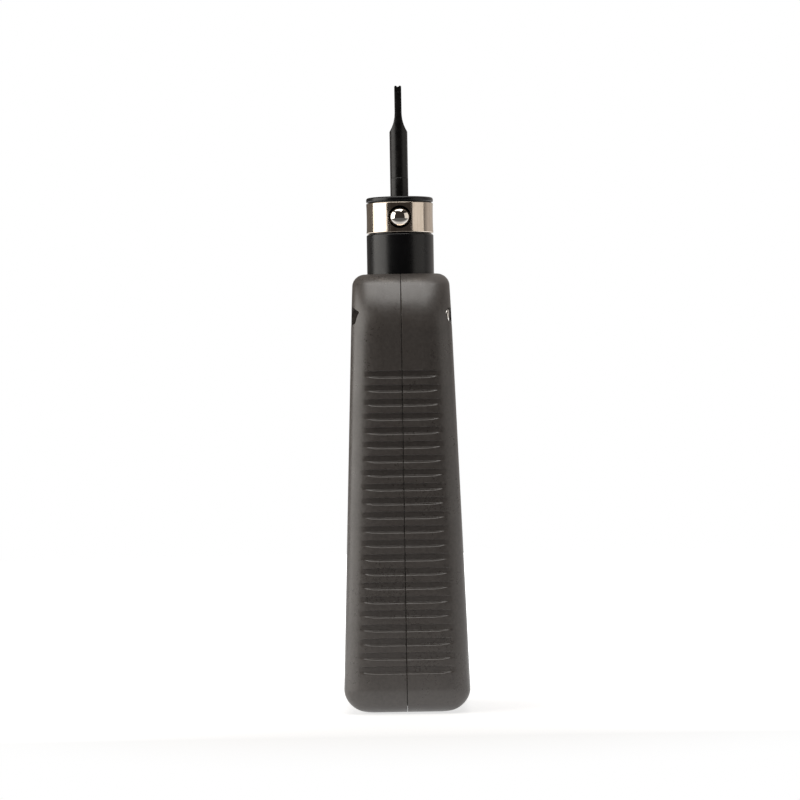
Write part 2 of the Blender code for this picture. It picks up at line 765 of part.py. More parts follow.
def build_screw(shop, index, material):
    """A cross-head screw, its head in the +X shell and its end in the nut."""
    y, z = SCREW_PLACES[index]
    top = head_x(z)
    under = top - SCREW_HEAD_HEIGHT
    crown = 0.4 * MM
    profile = [
        (0.0, top),
        (SCREW_HEAD_R - crown, top),
        (SCREW_HEAD_R, top - crown),
        (SCREW_HEAD_R, under),
        (SCREW_R, under),
        (SCREW_R, -nut_x(z)),
        (0.0, -nut_x(z)),
    ]
    screw = turned(f"shell_screw_{index + 1}", profile, 16)
    shop.finish_part(point_along_x(screw, (0.0, y, z)), material)
    wide = 0.5 * CROSS_WIDTH
    reach = 0.5 * CROSS_LENGTH
    floor = top - CROSS_DEPTH
    over = top + crown
    bar_y = box(f"cross_a_{index + 1}", (floor, y - reach, z - wide), (over, y + reach, z + wide))
    bar_z = box(f"cross_b_{index + 1}", (floor, y - wide, z - reach), (over, y + wide, z + reach))
    cut(screw, shop.finish_cutter(bar_y), shop.finish_cutter(bar_z))


def build_nut(shop, index, material):
    """A hexagon nut in the -X shell."""
    y, z = SCREW_PLACES[index]
    outer = -nut_x(z)
    inner = outer + NUT_HEIGHT
    nut = shop.finish_part(rod(f"shell_nut_{index + 1}", NUT_R, (outer, y, z), (inner, y, z), 6), material)
    over = 1.0 * MM
    hole = rod(f"nut_hole_{index + 1}", SCREW_R + CLEAR, (outer - over, y, z), (inner + over, y, z), 16)
    cut(nut, shop.finish_cutter(hole))


def build_fasteners(shop):
    material = zinc_steel()
    for index in range(len(SCREW_PLACES)):
        build_screw(shop, index, material)
        build_nut(shop, index, material)


def build_nose_bushing(shop):
    profile = [
        (BUSH_OUTER_R, BUSH_TOP),
        (BUSH_OUTER_R, BUSH_BOTTOM),
        (BUSH_INNER_R, BUSH_BOTTOM),
        (BUSH_INNER_R, BUSH_TOP),
    ]
    shop.finish_part(turned("nose_bushing", profile, SIDES, ring=True), sintered_bronze())


def build_storage(shop, notch):
    """The storage door on its hinge pin, and the spare blade behind it."""
    half = 0.5 * DOOR_WIDTH
    door = box("storage_door", (-half, DOOR_SEAT, DOOR_BOTTOM), (half, 2.0 * BODY_HALF_DEPTH, DOOR_TOP))
    move_origin(door, (0.0, DOOR_PIN_Y, DOOR_BOTTOM))
    shop.finish_part(door, handle_plastic())
    barrel = shop.finish_cutter(door_barrel("door_barrel", DOOR_BARREL_R, 0.5 * DOOR_WIDTH))
    boolean(door, barrel, "UNION")
    form = shop.finish_cutter(body_form("body_form"))
    boolean(door, form, "INTERSECT")
    bore = shop.finish_cutter(door_barrel("door_pin_bore", DOOR_PIN_R + CLEAR, DOOR_WIDTH, 16))
    cut(door, bore, notch)
    pin = door_barrel("door_hinge_pin", DOOR_PIN_R, 0.5 * DOOR_PIN_LENGTH, 12)
    shop.finish_part(pin, zinc_steel())
    spare = blade_form("spare_blade", 16)
    spare.location = (0.0, STORAGE_Y, DOOR_BOTTOM + STORAGE_RISE)
    shop.finish_part(spare, black_steel())
    cut_blade_tip(shop, spare, "spare")


# ----------------------------------------------------------------------------------------------
# Blade, holder, band and ball
# ----------------------------------------------------------------------------------------------
def flat_half(height):
    """Half thickness of the blade in X at a height above its bottom end."""
    taper_end = BLADE_LENGTH - BLADE_TIP_LENGTH
    taper_start = taper_end - BLADE_TAPER_LENGTH
    share = min(1.0, max(0.0, (height - taper_start) / BLADE_TAPER_LENGTH))
    ease = 0.5 - 0.5 * math.cos(math.pi * math.sqrt(share))
    return BLADE_SHANK_R + (BLADE_TIP_HALF - BLADE_SHANK_R) * ease


def blade_stations():
    """Heights above the blade's bottom end, each with the shank's radius there."""
    root_top = BLADE_SEATED + BLADE_ROOT_EXPOSED
    detent = BAND_MIDDLE - BLADE_BOTTOM
    reach = 1.5 * MM
    floor = BLADE_ROOT_R - BLADE_DETENT_FLOOR
    chamfer = 0.5 * MM
    stations = [
        (0.0, BLADE_ROOT_R - chamfer),
        (chamfer, BLADE_ROOT_R),
        (detent - reach, BLADE_ROOT_R),
        (detent - reach + 0.4 * MM, floor),
        (detent + reach - 0.4 * MM, floor),
        (detent + reach, BLADE_ROOT_R),
        (root_top - 0.15 * MM, BLADE_ROOT_R),
        (root_top, BLADE_SHANK_R),
    ]
    taper_end = BLADE_LENGTH - BLADE_TIP_LENGTH
    steps = 6
    for i in range(steps + 1):
        stations.append((taper_end - BLADE_TAPER_LENGTH * (1.0 - i / steps), BLADE_SHANK_R))
    stations.append((BLADE_LENGTH, BLADE_SHANK_R))
    return stations


def blade_form(name, sides):
    """A round shank ground to two flats at its tip, with a groove for the detent ball."""
    rings = []
    for height, radius in blade_stations():
        limit = min(radius, flat_half(height))
        ring = []
        for i in range(sides):
            angle = 2.0 * math.pi * (i + 0.5) / sides
            x = max(-limit, min(limit, radius * math.cos(angle)))
            ring.append((x, radius * math.sin(angle), height))
        rings.append(ring)
    return loft(name, rings)


def cut_blade_tip(shop, blade, label):
    """Slot the tip between its two prongs and cut the front prong short."""
    place = Vector(blade.location)
    half = 0.5 * BLADE_SLOT
    wide = 2.0 * BLADE_SHANK_R
    over = 1.0 * MM
    slot_floor = BLADE_LENGTH - BLADE_SLOT_DEPTH
    step_floor = BLADE_LENGTH - BLADE_STEP
    slot = box(f"{label}_slot", (-wide, -half, slot_floor), (wide, half, BLADE_LENGTH + over))
    step = box(f"{label}_step", (-wide, -wide, step_floor), (wide, 0.0, BLADE_LENGTH + 2.0 * over))
    for tool in (slot, step):
        tool.location = place
        cut(blade, shop.finish_cutter(tool))


def build_blade(shop):
    blade = blade_form("cutting_blade", 24)
    blade.location = (0.0, 0.0, BLADE_BOTTOM)
    shop.finish_part(blade, black_steel())
    cut_blade_tip(shop, blade, "tip")
    return blade


def round_edge(radius, centre_r, centre_z, steps=3):
    """Points of an outer edge rounded from its top face to its side."""
    return [
        (centre_r + radius * math.sin(0.5 * math.pi * i / steps),
         centre_z + radius * math.cos(0.5 * math.pi * i / steps))
        for i in range(steps + 1)
    ]


def ball_y():
    """Distance from the axis to the ball's centre when it sits in the blade's detent groove."""
    return BALL_SEAT + BALL_R


def build_holder(shop):
    """The telescoping sleeve that takes the blade at its top and the spindle at its bottom."""
    edge = 0.3 * MM
    clip_low = CLIP_BOTTOM - CLEAR
    clip_high = CLIP_BOTTOM + CLIP_HEIGHT + CLEAR
    web_top = BLADE_BOTTOM - 2.0 * CLEAR
    profile = [
        (0.0, web_top),
        (BLADE_BORE_R, web_top),
        (BLADE_BORE_R, HOLDER_TOP - edge),
        (BLADE_BORE_R + edge, HOLDER_TOP),
    ]
    profile += round_edge(FLANGE_ROUND, SLEEVE_R - FLANGE_ROUND, HOLDER_TOP - FLANGE_ROUND)
    profile += [
        (SLEEVE_R, BAND_TOP + CLEAR),
        (NECK_R, BAND_TOP + CLEAR),
        (NECK_R, BAND_BOTTOM - CLEAR),
        (SLEEVE_R - edge, BAND_BOTTOM - CLEAR),
        (SLEEVE_R, BAND_BOTTOM - CLEAR - edge),
        (SLEEVE_R, clip_high),
        (CLIP_FLOOR_R, clip_high),
        (CLIP_FLOOR_R, clip_low),
        (SLEEVE_R, clip_low),
        (SLEEVE_R, HOLDER_BOTTOM + edge),
        (SLEEVE_R - edge, HOLDER_BOTTOM),
        (SPINDLE_BORE_R, HOLDER_BOTTOM),
        (SPINDLE_BORE_R, SPINDLE_TOP + CLEAR),
        (0.0, SPINDLE_TOP + CLEAR),
    ]
    holder = shop.finish_part(turned("blade_holder", profile), satin_black())
    inner = -0.5 * BLADE_BORE_R
    ball_bore = rod("ball_bore", BALL_R + CLEAR, (0.0, -SLEEVE_R, BAND_MIDDLE), (0.0, inner, BAND_MIDDLE), 24)
    pin_bore = rod("holder_pin_bore", HOLDER_PIN_R + CLEAR, (-2.0 * SLEEVE_R, 0.0, HOLDER_PIN_Z),
                   (2.0 * SLEEVE_R, 0.0, HOLDER_PIN_Z), 12)
    shop.finish_cutter(pin_bore)
    cut(holder, shop.finish_cutter(ball_bore), pin_bore)
    return holder, pin_bore


def build_band(shop):
    """The C-shaped spring band round the holder's neck, with the ball showing through its hole."""
    edge = 0.12 * MM
    inner = SLEEVE_R - BAND_THICKNESS
    profile = [
        (SLEEVE_R - edge, BAND_TOP),
        (SLEEVE_R, BAND_TOP - edge),
        (SLEEVE_R, BAND_BOTTOM + edge),
        (SLEEVE_R - edge, BAND_BOTTOM),
        (inner, BAND_BOTTOM),
        (inner, BAND_TOP),
    ]
    band = shop.finish_part(turned("spring_band", profile, SIDES, ring=True), nickel())
    far = 2.0 * SLEEVE_R
    hole = rod("band_hole", BAND_HOLE_R, (0.0, -far, BAND_MIDDLE), (0.0, 0.0, BAND_MIDDLE), 24)
    half = 0.5 * BAND_SPLIT
    split = box("band_split", (-half, 0.0, BAND_BOTTOM - FLANGE_HEIGHT), (half, far, BAND_TOP + FLANGE_HEIGHT))
    cut(band, shop.finish_cutter(hole), shop.finish_cutter(split))
    return band


def build_ball(shop):
    bm = bmesh.new()
    bmesh.ops.create_uvsphere(bm, u_segments=18, v_segments=10, radius=BALL_R)
    ball = from_bmesh("detent_ball", bm)
    ball.location = (0.0, -ball_y(), BAND_MIDDLE)
    shop.finish_part(ball, polished_steel())


# ----------------------------------------------------------------------------------------------
# Mechanism
# ----------------------------------------------------------------------------------------------
def build_spindle(shop, pin_bore):
    """The stepped spindle: its shoulder is the anvil and its thin end presses on the sear."""
    edge = 0.4 * MM
    profile = [
        (0.0, SPINDLE_TOP),
        (SPINDLE_R - edge, SPINDLE_TOP),
        (SPINDLE_R, SPINDLE_TOP - edge),
        (SPINDLE_R, ANVIL),
        (ROD_R, ANVIL),
        (ROD_R, ROD_END + edge),
        (ROD_R - edge, ROD_END),
        (0.0, ROD_END),
    ]
    spindle = shop.finish_part(turned("impact_spindle", profile, INNER_SIDES), hardened_steel())
    cut(spindle, pin_bore)
    return spindle


def build_holder_pin(shop):
    reach = SLEEVE_R - CLEAR
    pin = rod("holder_pin", HOLDER_PIN_R, (-reach, 0.0, HOLDER_PIN_Z), (reach, 0.0, HOLDER_PIN_Z), 12)
    return shop.finish_part(pin, hardened_steel())


def build_retaining_clip(shop):
    """The open ring that stops the holder under the nose bushing."""
    inner = CLIP_FLOOR_R + CLEAR
    profile = [
        (CLIP_R, CLIP_BOTTOM + CLIP_HEIGHT),
        (CLIP_R, CLIP_BOTTOM),
        (inner, CLIP_BOTTOM),
        (inner, CLIP_BOTTOM + CLIP_HEIGHT),
    ]
    clip = shop.finish_part(turned("retaining_clip", profile, INNER_SIDES, ring=True), spring_steel())
    half = 0.5 * CLIP_FLOOR_R
    split = box("clip_split", (-half, 0.0, HOLDER_BOTTOM), (half, 2.0 * CLIP_R, BODY_HEIGHT))
    cut(clip, shop.finish_cutter(split))
    return clip


def build_spring_washer(shop):
    profile = [
        (UPPER_BORE_R - CLEAR, WASHER_TOP),
        (UPPER_BORE_R - CLEAR, WASHER_BOTTOM),
        (SPINDLE_R + CLEAR, WASHER_BOTTOM),
        (SPINDLE_R + CLEAR, WASHER_TOP),
    ]
    shop.finish_part(turned("spring_washer", profile, INNER_SIDES, ring=True), zinc_steel())


def sear_end_x():
    """How far the sear's tongue reaches in +X at rest."""
    return HAMMER_R - 0.2 * MM


def cam_x(z):
    """The face of the trip cam, which the tongue meets as the hammer is pushed down."""
    return sear_end_x() + CLEAR - SEAR_TRAVEL * (SEAR_BOTTOM - z) / STROKE


def build_trip_cam(shop):
    """The wedge in the wall of the guide tube that slides the sear inwards over the stroke."""
    low = SEAR_BOTTOM - STROKE - 1.0 * MM
    high = SEAR_BOTTOM
    half = SEAR_TONGUE_HALF
    outer = TUBE_OUTER_R - CLEAR
    rings = []
    for z in (low, high):
        face = cam_x(max(z, SEAR_BOTTOM - STROKE))
        rings.append([(face, -half, z), (outer, -half, z), (outer, half, z), (face, half, z)])
    shop.finish_part(loft("trip_cam", rings), hardened_steel())
    return low, high


def build_guide_tube(shop, cam_low, cam_high):
    """The thin steel tube that the hammer slides in, with a window for the trip cam."""
    profile = [
        (TUBE_OUTER_R, TUBE_TOP),
        (TUBE_OUTER_R, TUBE_BOTTOM),
        (TUBE_INNER_R, TUBE_BOTTOM),
        (TUBE_INNER_R, TUBE_TOP),
    ]
    tube = shop.finish_part(turned("guide_tube", profile, SIDES, ring=True), zinc_steel())
    half = SEAR_TONGUE_HALF + CLEAR
    window = box("cam_window", (0.5 * TUBE_INNER_R, -half, cam_low - CLEAR),
                 (2.0 * TUBE_OUTER_R, half, cam_high + CLEAR))
    cut(tube, shop.finish_cutter(window))


def hammer_groove_x():
    """Floor of the groove in the hammer that clears the trip cam."""
    return cam_x(SEAR_BOTTOM - STROKE) - CLEAR


def build_hammer(shop):
    """The sliding hammer, with the spindle's bore, the sear's slot and the cam's groove."""
    edge = 0.6 * MM
    profile = [
        (HAMMER_R - edge, HAMMER_TOP),
        (HAMMER_R, HAMMER_TOP - edge),
        (HAMMER_R, HAMMER_BOTTOM + edge),
        (HAMMER_R - edge, HAMMER_BOTTOM),
        (ROD_BORE_R, HAMMER_BOTTOM),
        (ROD_BORE_R, HAMMER_TOP),
    ]
    hammer = shop.finish_part(turned("hammer", profile, SIDES, ring=True), hardened_steel())
    far = 2.0 * HAMMER_R
    slot_half = SEAR_HALF_WIDTH + CLEAR
    slot = box("sear_slot", (sear_spring_end(), -slot_half, SEAR_BOTTOM - CLEAR),
               (far, slot_half, SEAR_TOP + CLEAR))
    groove_half = SEAR_TONGUE_HALF + CLEAR
    groove = box("cam_groove", (hammer_groove_x(), -groove_half, 0.0), (far, groove_half, BODY_HEIGHT))
    cut(hammer, shop.finish_cutter(slot), shop.finish_cutter(groove))
    return hammer


def sear_spring_end():
    """The closed end of the slot that the sear spring rests against."""
    return -(HAMMER_R - 1.0 * MM)


def sear_back_x():
    """The spring end of the sear at rest."""
    return SEAR_TRAVEL - ROD_BORE_R - SEAR_SIDE


def build_sear(shop):
    """The sliding plate whose off-centre hole lets the spindle's end through once it is centred."""
    shoulder = sear_end_x() - SEAR_TONGUE
    sear = box("sear_plate", (sear_back_x(), -SEAR_HALF_WIDTH, SEAR_BOTTOM),
               (shoulder, SEAR_HALF_WIDTH, SEAR_TOP))
    shop.finish_part(sear, hardened_steel())
    tongue = box("sear_tongue", (0.5 * shoulder, -SEAR_TONGUE_HALF, SEAR_BOTTOM + 0.1 * MM),
                 (sear_end_x(), SEAR_TONGUE_HALF, SEAR_TOP - 0.1 * MM))
    boolean(sear, shop.finish_cutter(tongue), "UNION")
    hole = rod("sear_hole", ROD_BORE_R, (SEAR_TRAVEL, 0.0, HAMMER_BOTTOM), (SEAR_TRAVEL, 0.0, HAMMER_TOP), 24)
    cut(sear, shop.finish_cutter(hole))
    return sear


def build_springs(shop):
    """The main spring under the hammer, the return spring under the holder, the sear's spring."""
    material = spring_steel()
    main_length = HAMMER_BOTTOM - SEAT_TOP - 2.0 * CLEAR
    main = coil("main_spring", MAIN_SPRING_R, MAIN_WIRE_R, main_length, MAIN_PITCH)
    main.location = (0.0, 0.0, SEAT_TOP + CLEAR)
    shop.finish_part(main, material)
    return_length = HOLDER_BOTTOM - WASHER_TOP - 2.0 * CLEAR
    back = coil("return_spring", RETURN_SPRING_R, RETURN_WIRE_R, return_length, RETURN_PITCH)
    back.location = (0.0, 0.0, WASHER_TOP + CLEAR)
    shop.finish_part(back, material)
    sear_length = sear_back_x() - sear_spring_end() - 2.0 * CLEAR
    small = coil("sear_spring", SEAR_SPRING_R, SEAR_WIRE_R, sear_length, SEAR_PITCH)
    middle = 0.5 * (SEAR_BOTTOM + SEAR_TOP)
    point_along_x(small, (sear_spring_end() + CLEAR, 0.0, middle))
    shop.finish_part(small, material)


def build_spring_seat(shop):
    edge = 0.5 * MM
    profile = [
        (0.0, SEAT_TOP + SEAT_SPIGOT),
        (SEAT_SPIGOT_R - edge, SEAT_TOP + SEAT_SPIGOT),
        (SEAT_SPIGOT_R, SEAT_TOP + SEAT_SPIGOT - edge),
        (SEAT_SPIGOT_R, SEAT_TOP),
        (SEAT_R, SEAT_TOP),
        (SEAT_R, SEAT_FLOOR),
        (0.0, SEAT_FLOOR),
    ]
    shop.finish_part(turned("spring_seat", profile, INNER_SIDES), zinc_steel())


def build_dial(shop):
    """The impact force dial: its eccentric pin lifts the spring seat as it is turned."""
    edge = 0.4 * MM
    top = dial_x()
    under = top - DIAL_THICKNESS
    hub_end = SEAT_BORE_R + CLEAR
    profile = [
        (0.0, top),
        (DIAL_R - edge, top),
        (DIAL_R, top - edge),
        (DIAL_R, under),
        (DIAL_HUB_R, under),
        (DIAL_HUB_R, hub_end),
        (0.0, hub_end),
    ]
    dial = turned("impact_dial", profile)
    shop.finish_part(point_along_x(dial, (0.0, 0.0, DIAL_Z)), red_nylon())
    offset = 0.5 * SEAT_TRAVEL
    pin_z = DIAL_Z - offset
    pin = rod("eccentric_pin", DIAL_PIN_R, (0.3 * SEAT_R, 0.0, pin_z), (hub_end + 1.0 * MM, 0.0, pin_z), 16)
    boolean(dial, shop.finish_cutter(pin), "UNION")
    half = 0.5 * DIAL_SLOT
    reach = DIAL_R - 1.0 * MM
    slot = box("dial_slot", (top - DIAL_SLOT_DEPTH, -half, DIAL_Z - reach),
               (BUTT_WIDTH, half, DIAL_Z + reach))
    cut(dial, shop.finish_cutter(slot))


def main():
    clear_scene()
    shop = Shop()
    notch = door_notch(shop)
    build_shells(shop, notch)
    build_fasteners(shop)
    build_nose_bushing(shop)
    build_storage(shop, notch)
    cam_low, cam_high = build_trip_cam(shop)
    build_guide_tube(shop, cam_low, cam_high)
    build_spring_washer(shop)
    build_spring_seat(shop)
    build_dial(shop)
    build_springs(shop)

    holder, pin_bore = build_holder(shop)
    spindle = build_spindle(shop, pin_bore)
    sliding = [holder, spindle, build_band(shop), build_holder_pin(shop), build_retaining_clip(shop)]
    hang_on(joint_empty("stroke_axis", (0.0, 0.0, HOLDER_BOTTOM)), *sliding)
    hammer = build_hammer(shop)
    sear = build_sear(shop)
    hang_on(joint_empty("hammer_axis", (0.0, 0.0, HAMMER_BOTTOM)), hammer, sear)
    build_blade(shop)
    build_ball(shop)


main()
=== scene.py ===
"""Looks of an impact punch down tool: its visible pieces in fine detail, their finishes, and a studio."""

import json
import logging
import math
from dataclasses import dataclass
from enum import Enum

import bmesh
import bpy
from mathutils import Matrix, Vector


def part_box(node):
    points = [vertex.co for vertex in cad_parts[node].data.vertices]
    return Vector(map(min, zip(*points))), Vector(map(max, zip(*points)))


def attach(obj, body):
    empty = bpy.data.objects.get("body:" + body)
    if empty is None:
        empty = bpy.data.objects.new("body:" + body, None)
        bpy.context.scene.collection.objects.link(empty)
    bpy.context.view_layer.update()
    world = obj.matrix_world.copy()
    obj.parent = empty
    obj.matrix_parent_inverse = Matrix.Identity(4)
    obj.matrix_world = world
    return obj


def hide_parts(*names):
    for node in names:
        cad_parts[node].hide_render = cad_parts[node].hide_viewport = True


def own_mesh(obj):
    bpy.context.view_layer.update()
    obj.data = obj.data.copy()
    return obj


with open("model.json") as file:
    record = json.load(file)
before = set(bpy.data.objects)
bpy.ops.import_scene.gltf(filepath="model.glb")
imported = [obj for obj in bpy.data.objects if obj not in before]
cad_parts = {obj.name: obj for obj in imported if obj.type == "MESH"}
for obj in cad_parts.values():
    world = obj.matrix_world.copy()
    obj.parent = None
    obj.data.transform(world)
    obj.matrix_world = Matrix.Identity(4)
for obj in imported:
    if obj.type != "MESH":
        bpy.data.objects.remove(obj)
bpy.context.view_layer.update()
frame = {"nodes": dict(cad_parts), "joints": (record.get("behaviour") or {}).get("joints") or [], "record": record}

MM = 0.001
QUARTER = 0.5 * math.pi
FULL_TURN = 2.0 * math.pi
LOG = logging.getLogger("punch_down_tool")

Point2 = tuple[float, float]
Point3 = tuple[float, float, float]
Colour = tuple[float, float, float]
Socket = bpy.types.NodeSocket


# ----------------------------------------------------------------------------------------------
# Shader node groups: effects that several finishes share
# ----------------------------------------------------------------------------------------------
class Sheet:
    """A node tree that is being laid out."""

    def __init__(self, tree: bpy.types.NodeTree) -> None:
        """Keep the tree to work on."""
        self.tree = tree

    def node(self, kind: str, **settings: object) -> bpy.types.Node:
        """Add a node.

        Args:
            kind: The node's type name.
            settings: Values for the node's own properties.

        Returns:
            The new node.
        """
        made = self.tree.nodes.new(kind)
        for name, value in settings.items():
            setattr(made, name, value)
        return made

    def feed(self, target: Socket, value: object) -> None:
        """Link a socket to the target, or set the target to a constant."""
        if isinstance(value, bpy.types.NodeSocket):
            self.tree.links.new(value, target)
        else:
            target.default_value = value

    def math(self, operation: str, *values: object, clamp: bool = False) -> Socket:
        """Add a Math node and return its result."""
        made = self.node("ShaderNodeMath", operation=operation, use_clamp=clamp)
        for target, value in zip(made.inputs, values):
            self.feed(target, value)
        return made.outputs[0]

    def spread(self, value: Socket, low: float, high: float, out_low: float, out_high: float) -> Socket:
        """Map a value from one range to another, smoothly and clamped."""
        made = self.node("ShaderNodeMapRange", interpolation_type="SMOOTHSTEP")
        for target, item in zip(made.inputs, (value, low, high, out_low, out_high)):
            self.feed(target, item)
        return made.outputs[0]

    def blend(self, factor: Socket, first: object, second: object) -> Socket:
        """Mix two colours by a factor and return the result."""
        made = self.node("ShaderNodeMix", data_type="RGBA")
        self.feed(made.inputs[0], factor)
        self.feed(made.inputs[6], first)
        self.feed(made.inputs[7], second)
        return made.outputs[2]

    def noise(self, vector: Socket, scale: object, detail: float = 2.0, roughness: float = 0.5) -> Socket:
        """Add a noise texture and return its factor."""
        made = self.node("ShaderNodeTexNoise")
        self.feed(made.inputs["Vector"], vector)
        self.feed(made.inputs["Scale"], scale)
        made.inputs["Detail"].default_value = detail
        made.inputs["Roughness"].default_value = roughness
        return made.outputs["Fac"]

    def place(self) -> Socket:
        """Return the surface point in the object's own coordinates."""
        return self.node("ShaderNodeTexCoord").outputs["Object"]


class Effects:
    """The shared effects, each a shader node group that is built once."""

    def __init__(self) -> None:
        """Build every group."""
        self.grain = self._grain()
        self.marks = self._marks()
        self.rub = self._rub()
        self.handling = self._handling()

    @staticmethod
    def _open(name: str, inputs: dict[str, float], outputs: tuple[str, ...]) -> tuple[Sheet, dict, dict]:
        """Start a group.

        Args:
            name: The group's name.
            inputs: Input names with their defaults.
            outputs: Output names.

        Returns:
            The group's sheet, its input sockets and its output sockets, by name.
        """
        tree = bpy.data.node_groups.new(name, "ShaderNodeTree")
        for label, default in inputs.items():
            made = tree.interface.new_socket(label, in_out="INPUT", socket_type="NodeSocketFloat")
            made.default_value = default
        for label in outputs:
            tree.interface.new_socket(label, in_out="OUTPUT", socket_type="NodeSocketFloat")
        sheet = Sheet(tree)
        entry = sheet.node("NodeGroupInput")
        leave = sheet.node("NodeGroupOutput")
        return sheet, {k: entry.outputs[k] for k in inputs}, {k: leave.inputs[k] for k in outputs}

    def _grain(self) -> bpy.types.NodeTree:
        """Spark-eroded mould texture: fine pits, with a coarser mottle between them."""
        sheet, given, out = self._open("moulded_grain", {"Scale": 4000.0}, ("Height", "Mottle"))
        place = sheet.place()
        fine = sheet.noise(place, given["Scale"], 3.0, 0.65)
        pits = sheet.node("ShaderNodeTexVoronoi", feature="SMOOTH_F1")
        sheet.feed(pits.inputs["Vector"], place)
        sheet.feed(pits.inputs["Scale"], sheet.math("MULTIPLY", given["Scale"], 0.55))
        pits.inputs["Smoothness"].default_value = 0.6
        height = sheet.math("ADD", sheet.math("MULTIPLY", fine, 0.6),
                            sheet.math("MULTIPLY", pits.outputs["Distance"], 0.5))
        sheet.feed(out["Height"], height)
        sheet.feed(out["Mottle"], sheet.noise(place, sheet.math("MULTIPLY", given["Scale"], 0.3), 4.0, 0.7))
        return sheet.tree

    def _marks(self) -> bpy.types.NodeTree:
        """Tool marks: noise stretched around the Z axis or along it."""
        sheet, given, out = self._open("tool_marks", {"Across": 60.0, "Along": 9000.0}, ("Height", "Streak"))
        scale = sheet.node("ShaderNodeCombineXYZ")
        for axis in (0, 1):
            sheet.feed(scale.inputs[axis], given["Across"])
        sheet.feed(scale.inputs[2], given["Along"])
        stretched = sheet.node("ShaderNodeVectorMath", operation="MULTIPLY")
        sheet.feed(stretched.inputs[0], sheet.place())
        sheet.feed(stretched.inputs[1], scale.outputs[0])
        fine = sheet.noise(stretched.outputs[0], 1.0, 4.0, 0.7)
        sheet.feed(out["Height"], fine)
        sheet.feed(out["Streak"], sheet.noise(stretched.outputs[0], 0.22, 2.0, 0.5))
        return sheet.tree

    def _rub(self) -> bpy.types.NodeTree:
        """Rubbed edges: where the rounded normal leaves the true one, broken up by noise."""
        sheet, given, out = self._open("rubbed_edges", {"Radius": 0.0003, "Breakup": 900.0}, ("Mask",))
        bevel = sheet.node("ShaderNodeBevel", samples=4)
        sheet.feed(bevel.inputs["Radius"], given["Radius"])
        flat = sheet.node("ShaderNodeNewGeometry")
        dot = sheet.node("ShaderNodeVectorMath", operation="DOT_PRODUCT")
        sheet.feed(dot.inputs[0], bevel.outputs[0])
        sheet.feed(dot.inputs[1], flat.outputs["Normal"])
        edge = sheet.spread(dot.outputs["Value"], 0.995, 0.86, 0.0, 1.0)
        worn = sheet.spread(sheet.noise(sheet.place(), given["Breakup"], 4.0, 0.6), 0.38, 0.62, 0.25, 1.0)
        sheet.feed(out["Mask"], sheet.math("MULTIPLY", edge, worn, clamp=True))
        return sheet.tree

    def _handling(self) -> bpy.types.NodeTree:
        """Soft patches left by hands and oil."""
        sheet, given, out = self._open("handling", {"Scale": 60.0}, ("Patches",))
        place = sheet.place()
        broad = sheet.noise(place, given["Scale"], 3.0, 0.55)
        small = sheet.noise(place, sheet.math("MULTIPLY", given["Scale"], 7.0), 2.0, 0.5)
        both = sheet.math("ADD", sheet.math("MULTIPLY", broad, 0.7), sheet.math("MULTIPLY", small, 0.3))
        sheet.feed(out["Patches"], sheet.spread(both, 0.35, 0.65, 0.0, 1.0))
        return sheet.tree


# ----------------------------------------------------------------------------------------------
# Finishes
# ----------------------------------------------------------------------------------------------
class MarkStyle(Enum):
    """Direction of the tool marks on a metal piece."""

    TURNED = (70.0, 11000.0)
    DRAWN = (9000.0, 160.0)
    GROUND = (2600.0, 5200.0)
    TUMBLED = (3200.0, 3200.0)


def _begin(name: str) -> tuple[bpy.types.Material, Sheet, bpy.types.Node]:
    """Start a material.

    Args:
        name: The material's name.

    Returns:
        The material, the sheet of its node tree and its Principled shader.
    """
    material = bpy.data.materials.new(name)
    material.use_nodes = True
    sheet = Sheet(material.node_tree)
    return material, sheet, material.node_tree.nodes["Principled BSDF"]


def _effect(sheet: Sheet, tree: bpy.types.NodeTree, **values: float) -> bpy.types.Node:
    """Place a shared effect in a material.

    Args:
        sheet: The material's sheet.
        tree: The effect's node group.
        values: The group's inputs, by name.

    Returns:
        The group node.
    """
    made = sheet.node("ShaderNodeGroup", node_tree=tree)
    for name, value in values.items():
        made.inputs[name].default_value = value
    return made


def _bump(sheet: Sheet, height: Socket, distance: float, strength: float) -> Socket:
    """Turn a height into a normal."""
    made = sheet.node("ShaderNodeBump")
    made.inputs["Strength"].default_value = strength
    made.inputs["Distance"].default_value = distance
    sheet.feed(made.inputs["Height"], height)
    return made.outputs[0]


def _shade(colour: Colour, factor: float) -> tuple[float, float, float, float]:
    """Return a colour made lighter or darker, with its alpha."""
    return tuple(min(1.0, part * factor) for part in colour) + (1.0,)


